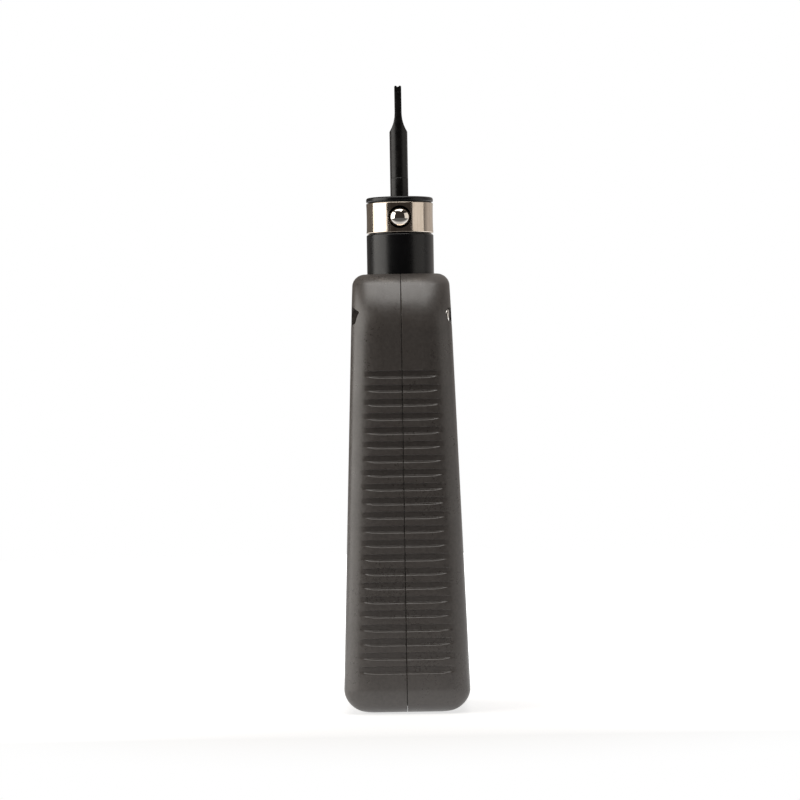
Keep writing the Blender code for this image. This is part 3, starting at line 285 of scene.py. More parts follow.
@dataclass(frozen=True)
class MouldedPlastic:
    """Textured moulded plastic, greyed by handling and polished where it is rubbed."""

    name: str
    colour: Colour
    worn: Colour
    roughness: float = 0.52
    grain_scale: float = 3600.0
    grain_depth: float = 0.034 * MM
    rub_radius: float = 0.35 * MM
    specular: float = 0.62

    def build(self, effects: Effects) -> bpy.types.Material:
        """Return the material."""
        material, sheet, shader = _begin(self.name)
        grain = _effect(sheet, effects.grain, Scale=self.grain_scale)
        patches = _effect(sheet, effects.handling, Scale=55.0).outputs["Patches"]
        rub = _effect(sheet, effects.rub, Radius=self.rub_radius, Breakup=1100.0).outputs["Mask"]
        mottle = sheet.spread(grain.outputs["Mottle"], 0.3, 0.7, 0.0, 1.0)
        body = sheet.blend(mottle, _shade(self.colour, 0.86), _shade(self.colour, 1.16))
        aged = sheet.blend(sheet.math("MULTIPLY", patches, 0.22), body, _shade(self.worn, 0.9))
        edged = sheet.blend(sheet.math("MULTIPLY", rub, 0.45), aged, (*self.worn, 1.0))
        sheet.feed(shader.inputs["Base Color"], edged)
        handled = sheet.spread(patches, 0.0, 1.0, self.roughness + 0.04, self.roughness - 0.05)
        rough = sheet.math("ADD", handled, sheet.spread(mottle, 0.0, 1.0, -0.03, 0.03))
        polished = sheet.math("SUBTRACT", rough, sheet.math("MULTIPLY", rub, 0.08))
        sheet.feed(shader.inputs["Roughness"], polished)
        shader.inputs["Specular IOR Level"].default_value = self.specular
        sheet.feed(shader.inputs["Normal"], _bump(sheet, grain.outputs["Height"], self.grain_depth, 0.55))
        return material


@dataclass(frozen=True)
class WorkedMetal:
    """Bare, plated or blackened metal with its tool marks, stains and rubbed edges."""

    name: str
    colour: Colour
    stain: Colour
    worn: Colour
    roughness: float
    marks: MarkStyle = MarkStyle.TURNED
    mark_depth: float = 0.004 * MM
    metallic: float = 1.0
    wear: float = 0.5
    stain_share: float = 0.35
    rub_radius: float = 0.15 * MM
    rough_spread: float = 0.08
    specular: float = 0.5

    def build(self, effects: Effects) -> bpy.types.Material:
        """Return the material."""
        material, sheet, shader = _begin(self.name)
        across, along = self.marks.value
        marks = _effect(sheet, effects.marks, Across=across, Along=along)
        patches = _effect(sheet, effects.handling, Scale=140.0).outputs["Patches"]
        rub = _effect(sheet, effects.rub, Radius=self.rub_radius, Breakup=2600.0).outputs["Mask"]
        streak = sheet.spread(marks.outputs["Streak"], 0.3, 0.7, 0.0, 1.0)
        base = sheet.blend(streak, _shade(self.colour, 0.9), _shade(self.colour, 1.08))
        stained = sheet.blend(sheet.math("MULTIPLY", patches, self.stain_share), base, (*self.stain, 1.0))
        edged = sheet.blend(sheet.math("MULTIPLY", rub, self.wear), stained, (*self.worn, 1.0))
        sheet.feed(shader.inputs["Base Color"], edged)
        shader.inputs["Metallic"].default_value = self.metallic
        shader.inputs["Specular IOR Level"].default_value = self.specular
        half = 0.5 * self.rough_spread
        handled = sheet.spread(patches, 0.0, 1.0, self.roughness - half, self.roughness + half)
        rough = sheet.math("ADD", handled, sheet.spread(streak, 0.0, 1.0, -half, half), clamp=True)
        sheet.feed(shader.inputs["Roughness"], rough)
        sheet.feed(shader.inputs["Normal"], _bump(sheet, marks.outputs["Height"], self.mark_depth, 0.5))
        return material


class Finishes:
    """Every finish of the tool, built once and kept by the record's slot name."""

    def __init__(self, effects: Effects) -> None:
        """Build the materials."""
        recipes = {
            "handle_plastic": MouldedPlastic(
                "warm_grey_plastic", (0.057, 0.050, 0.0455), (0.080, 0.071, 0.064), 0.34),
            "red_nylon": MouldedPlastic("red_nylon", (0.30, 0.022, 0.018), (0.42, 0.09, 0.07), 0.42),
            "sleeve_black": WorkedMetal(
                "satin_black_sleeve", (0.0020, 0.0021, 0.0027), (0.0036, 0.0036, 0.004), (0.02, 0.019, 0.018),
                roughness=0.29, metallic=0.0, wear=0.2, rub_radius=0.08 * MM, rough_spread=0.03,
                marks=MarkStyle.TUMBLED, mark_depth=0.010 * MM, specular=0.4, stain_share=0.12),
            "nickel_band": WorkedMetal(
                "nickel_plate", (0.72, 0.64, 0.55), (0.52, 0.42, 0.33), (0.86, 0.80, 0.72), 0.13,
                marks=MarkStyle.DRAWN, mark_depth=0.0015 * MM, stain_share=0.3, rough_spread=0.06),
            "polished_ball": WorkedMetal(
                "polished_ball", (0.80, 0.75, 0.69), (0.62, 0.55, 0.48), (0.88, 0.84, 0.80), 0.05,
                marks=MarkStyle.TUMBLED, mark_depth=0.0008 * MM, stain_share=0.2, rough_spread=0.04),
            "blade_black": WorkedMetal(
                "black_oxide", (0.0028, 0.0025, 0.0024), (0.009, 0.0078, 0.0066), (0.070, 0.063, 0.058), 0.36,
                marks=MarkStyle.GROUND, mark_depth=0.006 * MM, metallic=0.0, wear=0.3, stain_share=0.4,
                rub_radius=0.08 * MM, specular=0.33),
            "zinc_steel": WorkedMetal(
                "zinc_plated_steel", (0.62, 0.60, 0.57), (0.44, 0.40, 0.35), (0.80, 0.78, 0.75), 0.26,
                marks=MarkStyle.TUMBLED, mark_depth=0.004 * MM),
            "spring_steel": WorkedMetal(
                "spring_wire", (0.34, 0.33, 0.33), (0.20, 0.18, 0.17), (0.55, 0.54, 0.53), 0.30,
                marks=MarkStyle.DRAWN),
            "hardened_steel": WorkedMetal(
                "hardened_steel", (0.30, 0.29, 0.29), (0.17, 0.14, 0.12), (0.55, 0.54, 0.52), 0.34),
            "bronze": WorkedMetal(
                "sintered_bronze", (0.46, 0.30, 0.15), (0.27, 0.16, 0.08), (0.70, 0.50, 0.28), 0.42,
                marks=MarkStyle.TUMBLED, mark_depth=0.02 * MM),
        }
        self._made = {slot: recipe.build(effects) for slot, recipe in recipes.items()}
        white = MouldedPlastic("white_marking", (0.62, 0.61, 0.58), (0.45, 0.44, 0.42), 0.5)
        self.paint = white.build(effects)

    def dress(self, piece: bpy.types.Object, slot: str) -> None:
        """Give a piece the finish of a slot."""
        piece.data.materials.clear()
        piece.data.materials.append(self._made[slot])

    def dress_frame(self) -> None:
        """Give every node of the CAD model the finish of its own slot."""
        for part in frame["record"]["subparts"]:
            self.dress(frame["nodes"][part["node"]], part["material_slot"])


# ----------------------------------------------------------------------------------------------
# Mesh work
# ----------------------------------------------------------------------------------------------
SHARP = math.radians(32.0)


def to_object(name: str, bm: bmesh.types.BMesh) -> bpy.types.Object:
    """Turn a bmesh into an object in the scene.

    Args:
        name: The object's name.
        bm: The mesh, which is freed.

    Returns:
        The object, with its mesh in the row frame.
    """
    bmesh.ops.recalc_face_normals(bm, faces=bm.faces)
    mesh = bpy.data.meshes.new(name)
    bm.to_mesh(mesh)
    bm.free()
    made = bpy.data.objects.new(name, mesh)
    bpy.context.scene.collection.objects.link(made)
    return made


def loft(name: str, rings: list[list[Point3]]) -> bpy.types.Object:
    """Skin rings of equal point count, with a flat face at either end."""
    bm = bmesh.new()
    rows = [[bm.verts.new(point) for point in ring] for ring in rings]
    count = len(rings[0])
    for low, high in zip(rows, rows[1:]):
        for i in range(count):
            j = (i + 1) % count
            bm.faces.new((low[i], low[j], high[j], high[i]))
    bm.faces.new(rows[0])
    bm.faces.new(rows[-1])
    return to_object(name, bm)


def lathe(name: str, profile: list[Point2], sides: int = 96, ring: bool = False,
          turn: Matrix | None = None) -> bpy.types.Object:
    """Turn a profile about the Z axis.

    Args:
        name: The object's name.
        profile: Points of (radius, height).
        sides: Steps round the axis.
        ring: True where the profile is a closed loop that stays clear of the axis.
        turn: A placement for the finished piece.

    Returns:
        The turned piece.
    """
    bm = bmesh.new()
    rows = []
    for radius, height in profile:
        if radius < 1e-7:
            rows.append([bm.verts.new((0.0, 0.0, height))])
        else:
            steps = [FULL_TURN * (i + 0.5) / sides for i in range(sides)]
            rows.append([bm.verts.new((radius * math.cos(a), radius * math.sin(a), height)) for a in steps])
    pairs = list(zip(rows, rows[1:]))
    if ring:
        pairs.append((rows[-1], rows[0]))
    for first, second in pairs:
        for i in range(sides):
            j = (i + 1) % sides
            corners = [first[i % len(first)], first[j % len(first)],
                       second[j % len(second)], second[i % len(second)]]
            distinct = list(dict.fromkeys(corners))
            if len(distinct) > 2:
                bm.faces.new(distinct)
    if turn is not None:
        bmesh.ops.transform(bm, matrix=turn, verts=bm.verts)
    return to_object(name, bm)


def arc(centre: Point2, radius: float, start: float, end: float, steps: int = 5) -> list[Point2]:
    """Points of a circular arc between two angles, in degrees."""
    angles = [math.radians(start + (end - start) * i / steps) for i in range(steps + 1)]
    return [(centre[0] + radius * math.cos(a), centre[1] + radius * math.sin(a)) for a in angles]


def block(name: str, low: Point3, high: Point3) -> bpy.types.Object:
    """A box between two corners."""
    bm = bmesh.new()
    bmesh.ops.create_cube(bm, size=1.0)
    low_corner, high_corner = Vector(low), Vector(high)
    bmesh.ops.scale(bm, vec=high_corner - low_corner, verts=bm.verts)
    bmesh.ops.translate(bm, vec=0.5 * (low_corner + high_corner), verts=bm.verts)
    return to_object(name, bm)


def toward(axis: str, place: Point3) -> Matrix:
    """Return the placement that turns local Z to a world axis, such as +X or -Y, at a place."""
    directions = {"+X": (1, 0, 0), "-X": (-1, 0, 0), "+Y": (0, 1, 0), "-Y": (0, -1, 0), "+Z": (0, 0, 1)}
    spin = Vector(directions[axis]).to_track_quat("Z", "Y").to_matrix().to_4x4()
    return Matrix.Translation(Vector(place)) @ spin


def bar(name: str, radius: float, length: float, axis: str, place: Point3,
        sides: int = 48) -> bpy.types.Object:
    """A plain cylinder from a place along a world axis."""
    return lathe(name, [(0.0, 0.0), (radius, 0.0), (radius, length), (0.0, length)], sides,
                 turn=toward(axis, place))


def settle(piece: bpy.types.Object) -> bpy.types.Object:
    """Apply a piece's modifiers to its mesh."""
    evaluated = piece.evaluated_get(bpy.context.evaluated_depsgraph_get())
    mesh = bpy.data.meshes.new_from_object(evaluated)
    piece.modifiers.clear()
    old = piece.data
    piece.data = mesh
    bpy.data.meshes.remove(old)
    return piece


def combine(piece: bpy.types.Object, tool: bpy.types.Object, operation: str) -> bpy.types.Object:
    """Apply one Boolean between a piece and a tool shape."""
    change = piece.modifiers.new(operation, "BOOLEAN")
    change.operation = operation
    change.object = tool
    change.solver = "EXACT"
    return settle(piece)


def carve(piece: bpy.types.Object, tools: list[bpy.types.Object]) -> bpy.types.Object:
    """Cut tool shapes out of a piece, one after the other."""
    for tool in tools:
        combine(piece, tool, "DIFFERENCE")
    return piece


def scrap(tools: list[bpy.types.Object]) -> None:
    """Remove tool shapes that are no longer needed."""
    for tool in tools:
        bpy.data.objects.remove(tool, do_unlink=True)


def smooth(piece: bpy.types.Object, sharp: float = SHARP) -> bpy.types.Object:
    """Shade a piece smooth between its sharp edges, keeping its flat faces flat."""
    piece.data.shade_smooth()
    piece.data.set_sharp_from_angle(angle=sharp)
    weigh = piece.modifiers.new("weigh", "WEIGHTED_NORMAL")
    weigh.keep_sharp = True
    return piece


def soften(piece: bpy.types.Object, width: float, segments: int = 2) -> bpy.types.Object:
    """Round the sharp edges of a piece."""
    edge = piece.modifiers.new("soften", "BEVEL")
    edge.width = width
    edge.segments = segments
    edge.limit_method = "ANGLE"
    edge.angle_limit = SHARP
    edge.use_clamp_overlap = True
    return settle(piece)


@dataclass
class Assembly:
    """A group of pieces that are built and dressed together."""

    finishes: Finishes

    def add(self, piece: bpy.types.Object, node: str, body: str, slot: str) -> bpy.types.Object:
        """File a finished piece.

        Args:
            piece: The piece, in place.
            node: The CAD node that it stands for.
            body: The body that it rides on.
            slot: The slot of its finish.

        Returns:
            The piece.
        """
        self.finishes.dress(piece, slot)
        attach(piece, body)
        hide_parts(node)
        LOG.info("%s: %d vertices, rides on %s", piece.name, len(piece.data.vertices), body)
        return piece


# ----------------------------------------------------------------------------------------------
# Handle
# ----------------------------------------------------------------------------------------------
@dataclass
class HandleForm:
    """The outside form of the handle: a tapered block with grip grooves in its narrow edges."""

    height: float
    half_deep: float
    butt_width: float = 35.7 * MM
    nose_width: float = 27.1 * MM
    nose_half_deep: float = 13.0 * MM
    shoulder: float = 17.0 * MM
    edge_reach: Point2 = (8.8 * MM, 5.5 * MM)
    least_round: float = 1.0 * MM
    butt_round: Point2 = (8.5 * MM, 7.0 * MM)
    nose_round: float = 3.4 * MM
    groove_count: int = 22
    groove_pitch: float = 3.91 * MM
    groove_height: float = 2.2 * MM
    groove_depth: float = 0.7 * MM
    groove_start: float = 29.4 * MM
    lip_width: float = 0.80 * MM
    lip_drop: float = 0.2 * MM
    roof_width: float = 0.30 * MM
    corner_steps: int = 16
    seam_gap: float = 0.05 * MM
    seam_rounds: Point2 = (0.30 * MM, 0.10 * MM)
    lip_reach: float = 1.0 * MM
    lip_bottom: float = 2.0 * MM
    lip_inset: float = 2.7 * MM
    lip_thick: float = 1.0 * MM
    lip_tops: Point2 = (108.0 * MM, 15.5 * MM)

    def half_width(self, z: float) -> float:
        """Return half the width in X at a height."""
        return 0.5 * (self.butt_width + (self.nose_width - self.butt_width) * z / self.height)

    def half_depth(self, z: float) -> float:
        """Return half the depth in Y at a height."""
        share = max(0.0, (z - self.height + self.shoulder) / self.shoulder)
        return self.half_deep - (self.half_deep - self.nose_half_deep) * share ** 2

    def inset(self, z: float) -> float:
        """Return how far the rounded butt or nose pulls the outline in at a height."""
        wide, high = self.butt_round
        if z < high:
            return wide * (1.0 - math.sqrt(max(0.0, 1.0 - (1.0 - z / high) ** 2)))
        if z > self.height - self.nose_round:
            rise = 1.0 - (self.height - z) / self.nose_round
            return self.nose_round * (1.0 - math.sqrt(max(0.0, 1.0 - rise ** 2)))
        return 0.0

    def lips(self) -> list[float]:
        """Return the heights of the grooves' lower lips."""
        first = self.height - self.groove_start
        return [first - self.groove_pitch * i for i in range(self.groove_count)]

    def stations(self) -> list[Point2]:
        """Return the heights of the outline's rings, each with the groove depth there."""
        high = self.butt_round[1]
        ends = [high * (1.0 - math.cos(QUARTER * i / 14)) for i in range(15)]
        start = self.height - self.shoulder
        ends += [start + (self.shoulder - self.nose_round) * i / 16 for i in range(17)]
        ends += [self.height - self.nose_round * (1.0 - math.sin(QUARTER * i / 12)) for i in range(1, 13)]
        made = [(z, 0.0) for z in ends]
        steps = 7
        for lip in self.lips():
            for i in range(steps + 1):
                share = i / steps
                ramp = min(1.0, max(0.0, 1.24 * share - 0.12))
                eased = share * share * (3.0 - 2.0 * share)
                floor = lip - self.lip_drop + share * self.lip_width
                roof = lip + self.groove_height - share * self.roof_width
                made.append((floor, 0.5 * (ramp + eased) * self.groove_depth))
                made.append((roof, eased * self.groove_depth))
        return sorted(made)

    def outline(self, z: float, groove: float, seam: float, edge: float) -> list[Point2]:
        """Return the +X half of the outline at a height, from its front at the seam to its back.

        Args:
            z: The height.
            groove: How deep the grip groove is there.
            seam: Where the half stops beside the seam plane.
            edge: How wide the seam's edge is rounded.

        Returns:
            Points counter-clockwise seen from above.
        """
        pull = self.inset(z)
        wide = self.half_width(z) - pull
        deep = self.half_depth(z) - pull
        reach_x, reach_y = (max(reach - pull, self.least_round) for reach in self.edge_reach)
        limit = deep - groove
        quarter = [(seam + edge * share, -deep) for share in (1.0, 4.0)]
        quarter += [(seam + 0.5 * (wide - reach_x - seam), -deep), (wide - reach_x - 0.4 * MM, -deep)]
        quarter += [(wide - reach_x + reach_x * math.sin(QUARTER * i / self.corner_steps),
                     reach_y - deep - reach_y * math.cos(QUARTER * i / self.corner_steps))
                    for i in range(self.corner_steps + 1)]
        side = [(wide, (reach_y - deep) * share) for share in (0.9, 0.45)]
        half = quarter + side + [(wide, 0.0)] + [(x, -y) for x, y in reversed(quarter + side)]
        held = [(x, max(-limit, min(limit, y))) for x, y in half]
        front = [(seam, edge - limit), (seam + 0.3 * edge, 0.3 * edge - limit)]
        back = [(x, -y) for x, y in reversed(front)]
        return front + held + back

    def half(self, name: str, side: int) -> bpy.types.Object:
        """Return one half of the handle as a solid block, +1 for +X and -1 for -X."""
        edge = self.seam_rounds[0 if side < 0 else 1]
        rings = [[(side * x, y, z) for x, y in self.outline(z, groove, self.seam_gap, edge)]
                 for z, groove in self.stations()]
        return loft(name, rings)

    def seam_lip(self, name: str, grow: float) -> bpy.types.Object:
        """Return the lip that laps over the seam at the front, the butt and the lower back."""
        reach = (-4.0 * self.seam_gap, self.lip_reach + grow)
        bottom = self.lip_bottom - grow
        steps = 40
        strips = []
        for label, side, top in (("front", -1.0, self.lip_tops[0]), ("back", 1.0, self.lip_tops[1])):
            rings = []
            for i in range(steps + 1):
                z = bottom + (top + grow - bottom) * (i / steps) ** 2
                outer = self.half_depth(z) - self.inset(z) - self.lip_inset + grow
                inner = outer - self.lip_thick - 2.0 * grow
                rings.append([(x, side * y, z) for x, y in (
                    (reach[0], outer), (reach[1], outer), (reach[1], inner), (reach[0], inner))])
            strips.append(loft(f"{name}_{label}", rings))
        wide = self.half_depth(0.0) - self.inset(self.lip_bottom) - self.lip_inset - 0.5 * self.lip_thick
        butt = block(name, (reach[0], -wide, bottom), (reach[1], wide, bottom + self.lip_thick + 2.0 * grow))
        for strip in strips:
            combine(butt, strip, "UNION")
        scrap(strips)
        return butt

    def whole(self, name: str) -> bpy.types.Object:
        """Return the whole outside as one solid, without the seam."""
        rings = []
        for z, groove in self.stations():
            right = self.outline(z, groove, 0.0, self.seam_rounds[1])[2:-2]
            rings.append([(x, y, z) for x, y in right] + [(-x, y, z) for x, y in reversed(right)])
        return loft(name, rings)


@dataclass
class Handle(Assembly):
    """The two shells of the handle with everything that is cut into them."""

    form: HandleForm
    clear: float = 0.3 * MM
    mouth: float = 0.4 * MM
    seat_room: float = 8.0 * MM
    screw_count: int = 5
    screw_head_depth: float = 2.5 * MM
    screw_shank: float = 1.8 * MM
    dial_depth: float = 3.3 * MM
    dial_hub: float = 3.4 * MM
    dial_floor: float = 4.0 * MM
    rebate_gap: float = 0.15 * MM
    far: float = 30.0 * MM

    def _bore(self) -> bpy.types.Object:
        """The stepped bore that holds the mechanism."""
        c, top = self.clear, self.form.height
        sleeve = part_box("blade_holder")[1].x + c
        bush_low, bush_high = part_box("nose_bushing")
        washer_low, washer_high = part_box("spring_washer")
        tube_low, tube_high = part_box("guide_tube")
        seat_low, seat_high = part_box("spring_seat")
        profile = [(0.0, top + MM), (sleeve + self.mouth, top + MM), (sleeve + self.mouth, top),
                   (sleeve, top - self.mouth), (sleeve, bush_high.z + c)]
        steps = ((bush_high.x, bush_high.z + c, bush_low.z - c),
                 (washer_high.x, bush_low.z - c, washer_low.z - c),
                 (tube_high.x, washer_low.z - c, tube_low.z - c),
                 (seat_high.x, tube_low.z - c, seat_low.z - self.seat_room))
        for radius, high, low in steps:
            profile += [(radius + c, high), (radius + c, low)]
        profile.append((0.0, seat_low.z - self.seat_room))
        return lathe("tool_bore", profile)

    def _screw_holes(self) -> list[bpy.types.Object]:
        """The counterbored holes of the screws."""
        made = []
        far, shank = self.far, self.screw_shank
        for i in range(1, self.screw_count + 1):
            low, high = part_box(f"shell_screw_{i}")
            y, z = 0.5 * (low.y + high.y), 0.5 * (low.z + high.z)
            head = 0.5 * (high.y - low.y) + self.clear
            floor = high.x - self.screw_head_depth
            profile = [(0.0, far), (head, far), (head, floor), (shank, floor), (shank, -far), (0.0, -far)]
            made.append(lathe(f"tool_screw_{i}", profile, 44, turn=toward("+X", (0.0, y, z))))
        return made

    def _nut_recesses(self) -> list[bpy.types.Object]:
        """The hexagonal recesses of the nuts."""
        made = []
        for i in range(1, self.screw_count + 1):
            low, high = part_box(f"shell_nut_{i}")
            y, z = 0.5 * (low.y + high.y), 0.5 * (low.z + high.z)
            radius = 0.5 * (high.z - low.z) + self.clear
            made.append(hexagon(f"tool_nut_{i}", radius, (high.x + self.clear, y, z), self.far))
        return made

    def _dial_recess(self) -> bpy.types.Object:
        """The stepped hole of the force dial."""
        low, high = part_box("impact_dial")
        radius = 0.5 * (high.z - low.z) + self.clear
        floor = high.x - self.dial_depth
        profile = [(0.0, self.far), (radius, self.far), (radius, floor), (self.dial_hub, floor),
                   (self.dial_hub, self.dial_floor), (0.0, self.dial_floor)]
        return lathe("tool_dial", profile, turn=toward("+X", (0.0, 0.0, 0.5 * (low.z + high.z))))

    def build(self, hatch: "StorageHatch") -> None:
        """Build both shells."""
        shared = [*hatch.shell_tools(), self._bore(), *self._screw_holes()]
        nuts = self._nut_recesses()
        dial = self._dial_recess()
        lip = self.form.seam_lip("tool_lip", 0.0)
        rebate = self.form.seam_lip("tool_rebate", self.rebate_gap)
        left = combine(self.form.half("grip_shell_left", -1), lip, "UNION")
        carve(left, shared + nuts)
        right = carve(self.form.half("grip_shell_right", 1), [*shared, dial, rebate])
        self.add(smooth(left), "left_shell", "handle", "handle_plastic")
        self.add(smooth(right), "right_shell", "handle", "handle_plastic")
        scrap([*shared, *nuts, dial, lip, rebate])


def hexagon(name: str, radius: float, inner: Point3, length: float) -> bpy.types.Object:
    """A hexagonal prism from a place towards -X, two of its corners up and down."""
    bm = bmesh.new()
    rows = []
    for x in (inner[0], inner[0] - length):
        rows.append([bm.verts.new((x, inner[1] + radius * math.sin(a), inner[2] + radius * math.cos(a)))
                     for a in (FULL_TURN * i / 6 for i in range(6))])
    for i in range(6):
        j = (i + 1) % 6
        bm.faces.new((rows[0][i], rows[0][j], rows[1][j], rows[1][i]))
    bm.faces.new(rows[0])
    bm.faces.new(rows[1])
    return to_object(name, bm)


@dataclass
class StorageHatch(Assembly):
    """The hinged door over the spare blade, on the back edge of the handle."""

    form: HandleForm
    blade: "BladeForm"
    clear: float = 0.3 * MM
    pin_radius: float = 0.8 * MM
    barrel_radius: float = 1.7 * MM
    swept: float = 2.4 * MM
    notch_radius: float = 2.2 * MM
    notch_half: float = 3.5 * MM
    door_thickness: float = 3.4 * MM
    pocket_half: float = 3.6 * MM
    pocket_depth: float = 1.1 * MM
    pocket_margin: float = 4.0 * MM
    pin_edge: float = 0.25 * MM

    def __post_init__(self) -> None:
        """Read the door's, the pin's and the spare blade's places from the frame."""
        self.low, self.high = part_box("storage_door")
        pin_low, pin_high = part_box("door_hinge_pin")
        self.pin = 0.5 * (pin_low + pin_high)
        self.pin_half = pin_high.x
        spare_low, spare_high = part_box("spare_blade")
        self.spare_y = 0.5 * (spare_low.y + spare_high.y)
        self.spare_z = (spare_low.z, spare_high.z)
        self.seat = self.high.y - self.door_thickness

    def _hinge(self, name: str, radius: float, half: float) -> bpy.types.Object:
        """A cylinder about the hinge line."""
        return bar(name, radius, 2.0 * half, "+X", (-half, self.pin.y, self.pin.z))

    def _notch(self) -> bpy.types.Object:
        """The scoop for a fingernail at the door's top edge."""
        y = self.form.half_deep + 0.3 * self.notch_radius
        return bar("tool_notch", self.notch_radius, 2.0 * self.notch_half, "+X",
                   (-self.notch_half, y, self.high.z))

    def _opening(self) -> bpy.types.Object:
        """The door's opening, its lower end rounded about the hinge line."""
        half = self.high.x + self.clear
        back = self.seat - self.clear
        far = 2.0 * self.form.half_deep
        top = self.high.z + self.clear
        first = math.degrees(math.acos((back - self.pin.y) / self.swept))
        outline = [(far, self.pin.z - self.swept), (far, top), (back, top)]
        outline += arc((self.pin.y, self.pin.z), self.swept, first, 270.0, 24)
        return loft("tool_opening", [[(x, y, z) for y, z in outline] for x in (-half, half)])

    def shell_tools(self) -> list[bpy.types.Object]:
        """Return what the hatch cuts out of the shells."""
        radius = self.blade.root_radius + self.clear
        low, high = self.spare_z[0] - self.clear, self.spare_z[1] + self.clear
        return [
            self._opening(),
            self._hinge("tool_pin", self.pin_radius + self.clear, self.pin_half + self.clear),
            bar("tool_channel", radius, high - low, "+Z", (0.0, self.spare_y, low)),
            block("tool_channel_mouth", (-radius, self.spare_y, low), (radius, self.seat, high)),
            self._notch(),
        ]

    def build(self) -> None:
        """Build the door, its hinge pin and the spare blade."""
        door = block("storage_hatch", (self.low.x, self.seat, self.pin.z),
                     (self.high.x, 2.0 * self.form.half_deep, self.high.z))
        barrel = self._hinge("tool_barrel", self.barrel_radius, self.high.x)
        combine(door, barrel, "UNION")
        whole = self.form.whole("tool_whole")
        combine(door, whole, "INTERSECT")
        bore = self._hinge("tool_bore_pin", self.pin_radius + self.clear, 2.0 * self.high.x)
        notch = self._notch()
        bottom, top = self.spare_z[0] + self.pocket_margin, self.spare_z[1] - self.pocket_margin
        pocket = block("tool_door_pocket", (-self.pocket_half, self.seat - MM, bottom),
                       (self.pocket_half, self.seat + self.pocket_depth, top))
        carve(door, [bore, notch, pocket])
        scrap([barrel, whole, bore, notch, pocket])
        self.add(smooth(door), "storage_door", "door", "handle_plastic")

        edge = self.pin_edge
        profile = [(0.0, -self.pin_half), (self.pin_radius - edge, -self.pin_half),
                   (self.pin_radius, edge - self.pin_half), (self.pin_radius, self.pin_half - edge),
                   (self.pin_radius - edge, self.pin_half), (0.0, self.pin_half)]
        pin = lathe("hatch_pin", profile, 32, turn=toward("+X", (0.0, self.pin.y, self.pin.z)))
        self.add(smooth(pin), "door_hinge_pin", "handle", "zinc_steel")
        spare = self.blade.build("stored_blade", (0.0, self.spare_y, self.spare_z[0]))
        self.add(spare, "spare_blade", "handle", "blade_black")


# ----------------------------------------------------------------------------------------------
# Blade and nose
# ----------------------------------------------------------------------------------------------
@dataclass
class BladeForm:
    """A round shank ground to two flats, with a slotted tip that has one long and one short prong."""

    length: float
    detent: float
    root_length: float = 28.9 * MM
    shank_radius: float = 2.55 * MM
    root_radius: float = 2.7 * MM
    tip_half: float = 1.0 * MM
    tip_length: float = 7.6 * MM
    taper_length: float = 5.6 * MM
    slot: float = 0.9 * MM
    slot_depth: float = 4.6 * MM
    step: float = 2.1 * MM
    detent_floor: float = 0.5 * MM
    detent_reach: float = 1.5 * MM
    sides: int = 72

    def _flat_half(self, height: float) -> float:
        """Return half the blade's thickness at a height above its bottom end."""
        start = self.length - self.tip_length - self.taper_length
        share = min(1.0, max(0.0, (height - start) / self.taper_length))
        ease = 0.5 - 0.5 * math.cos(math.pi * math.sqrt(share))
        return self.shank_radius + (self.tip_half - self.shank_radius) * ease

    def _stations(self) -> list[Point2]:
        """Return heights above the bottom end, each with the shank's radius there."""
        edge = 0.5 * MM
        turns = [QUARTER * i / 4 for i in range(5)]
        made = [(edge * (1.0 - math.cos(a)), self.root_radius - edge * (1.0 - math.sin(a))) for a in turns]
        floor = self.root_radius - self.detent_floor
        for i in range(-8, 9):
            share = abs(i) / 8
            rise = share ** 4
            made.append((self.detent + self.detent_reach * i / 8, floor + (self.root_radius - floor) * rise))
        made.append((self.root_length - 2.2 * MM, self.root_radius))
        made.append((self.root_length - 0.2 * MM, self.root_radius))
        made.append((self.root_length, self.shank_radius))
        start = self.length - self.tip_length - self.taper_length
        made += [(start + self.taper_length * i / 18, self.shank_radius) for i in range(19)]
        made.append((self.length - 0.25 * MM, self.shank_radius))
        made.append((self.length - 0.08 * MM, self.shank_radius - 0.06 * MM))
        made.append((self.length, self.shank_radius - 0.2 * MM))
        return made

    def build(self, name: str, place: Point3) -> bpy.types.Object:
        """Return the finished blade, standing on a place.

        Args:
            name: The piece's name.
            place: The middle of its bottom end.

        Returns:
            The blade.
        """
        rings = []
        for height, radius in self._stations():
            limit = min(radius, self._flat_half(height))
            limit -= max(0.0, height - self.length + 0.25 * MM) * 0.8
            ring = []
            for i in range(self.sides):
                angle = FULL_TURN * (i + 0.5) / self.sides
                x = max(-limit, min(limit, radius * math.cos(angle)))
                ring.append((place[0] + x, place[1] + radius * math.sin(angle), place[2] + height))
            rings.append(ring)
        blade = loft(name, rings)
        half = 0.5 * self.slot
        wide = 2.0 * self.root_radius
        base = Vector(place)
        top = self.length + MM
        floor = self.length - self.slot_depth + half
        tools = [
            block("tool_slot", base + Vector((-wide, -half, floor)), base + Vector((wide, half, top))),
            bar("tool_slot_end", half, 2.0 * wide, "+X", base + Vector((-wide, 0.0, floor))),
            block("tool_step", base + Vector((-wide, -wide, self.length - self.step)),
                  base + Vector((wide, 0.0, top))),
            bar("tool_wire_groove", 0.42 * MM, 2.0 * wide, "+Y",
                base + Vector((0.0, -wide, self.length + 0.12 * MM))),
        ]
        carve(blade, tools)
        scrap(tools)
        return smooth(soften(blade, 0.06 * MM, 1), math.radians(40.0))


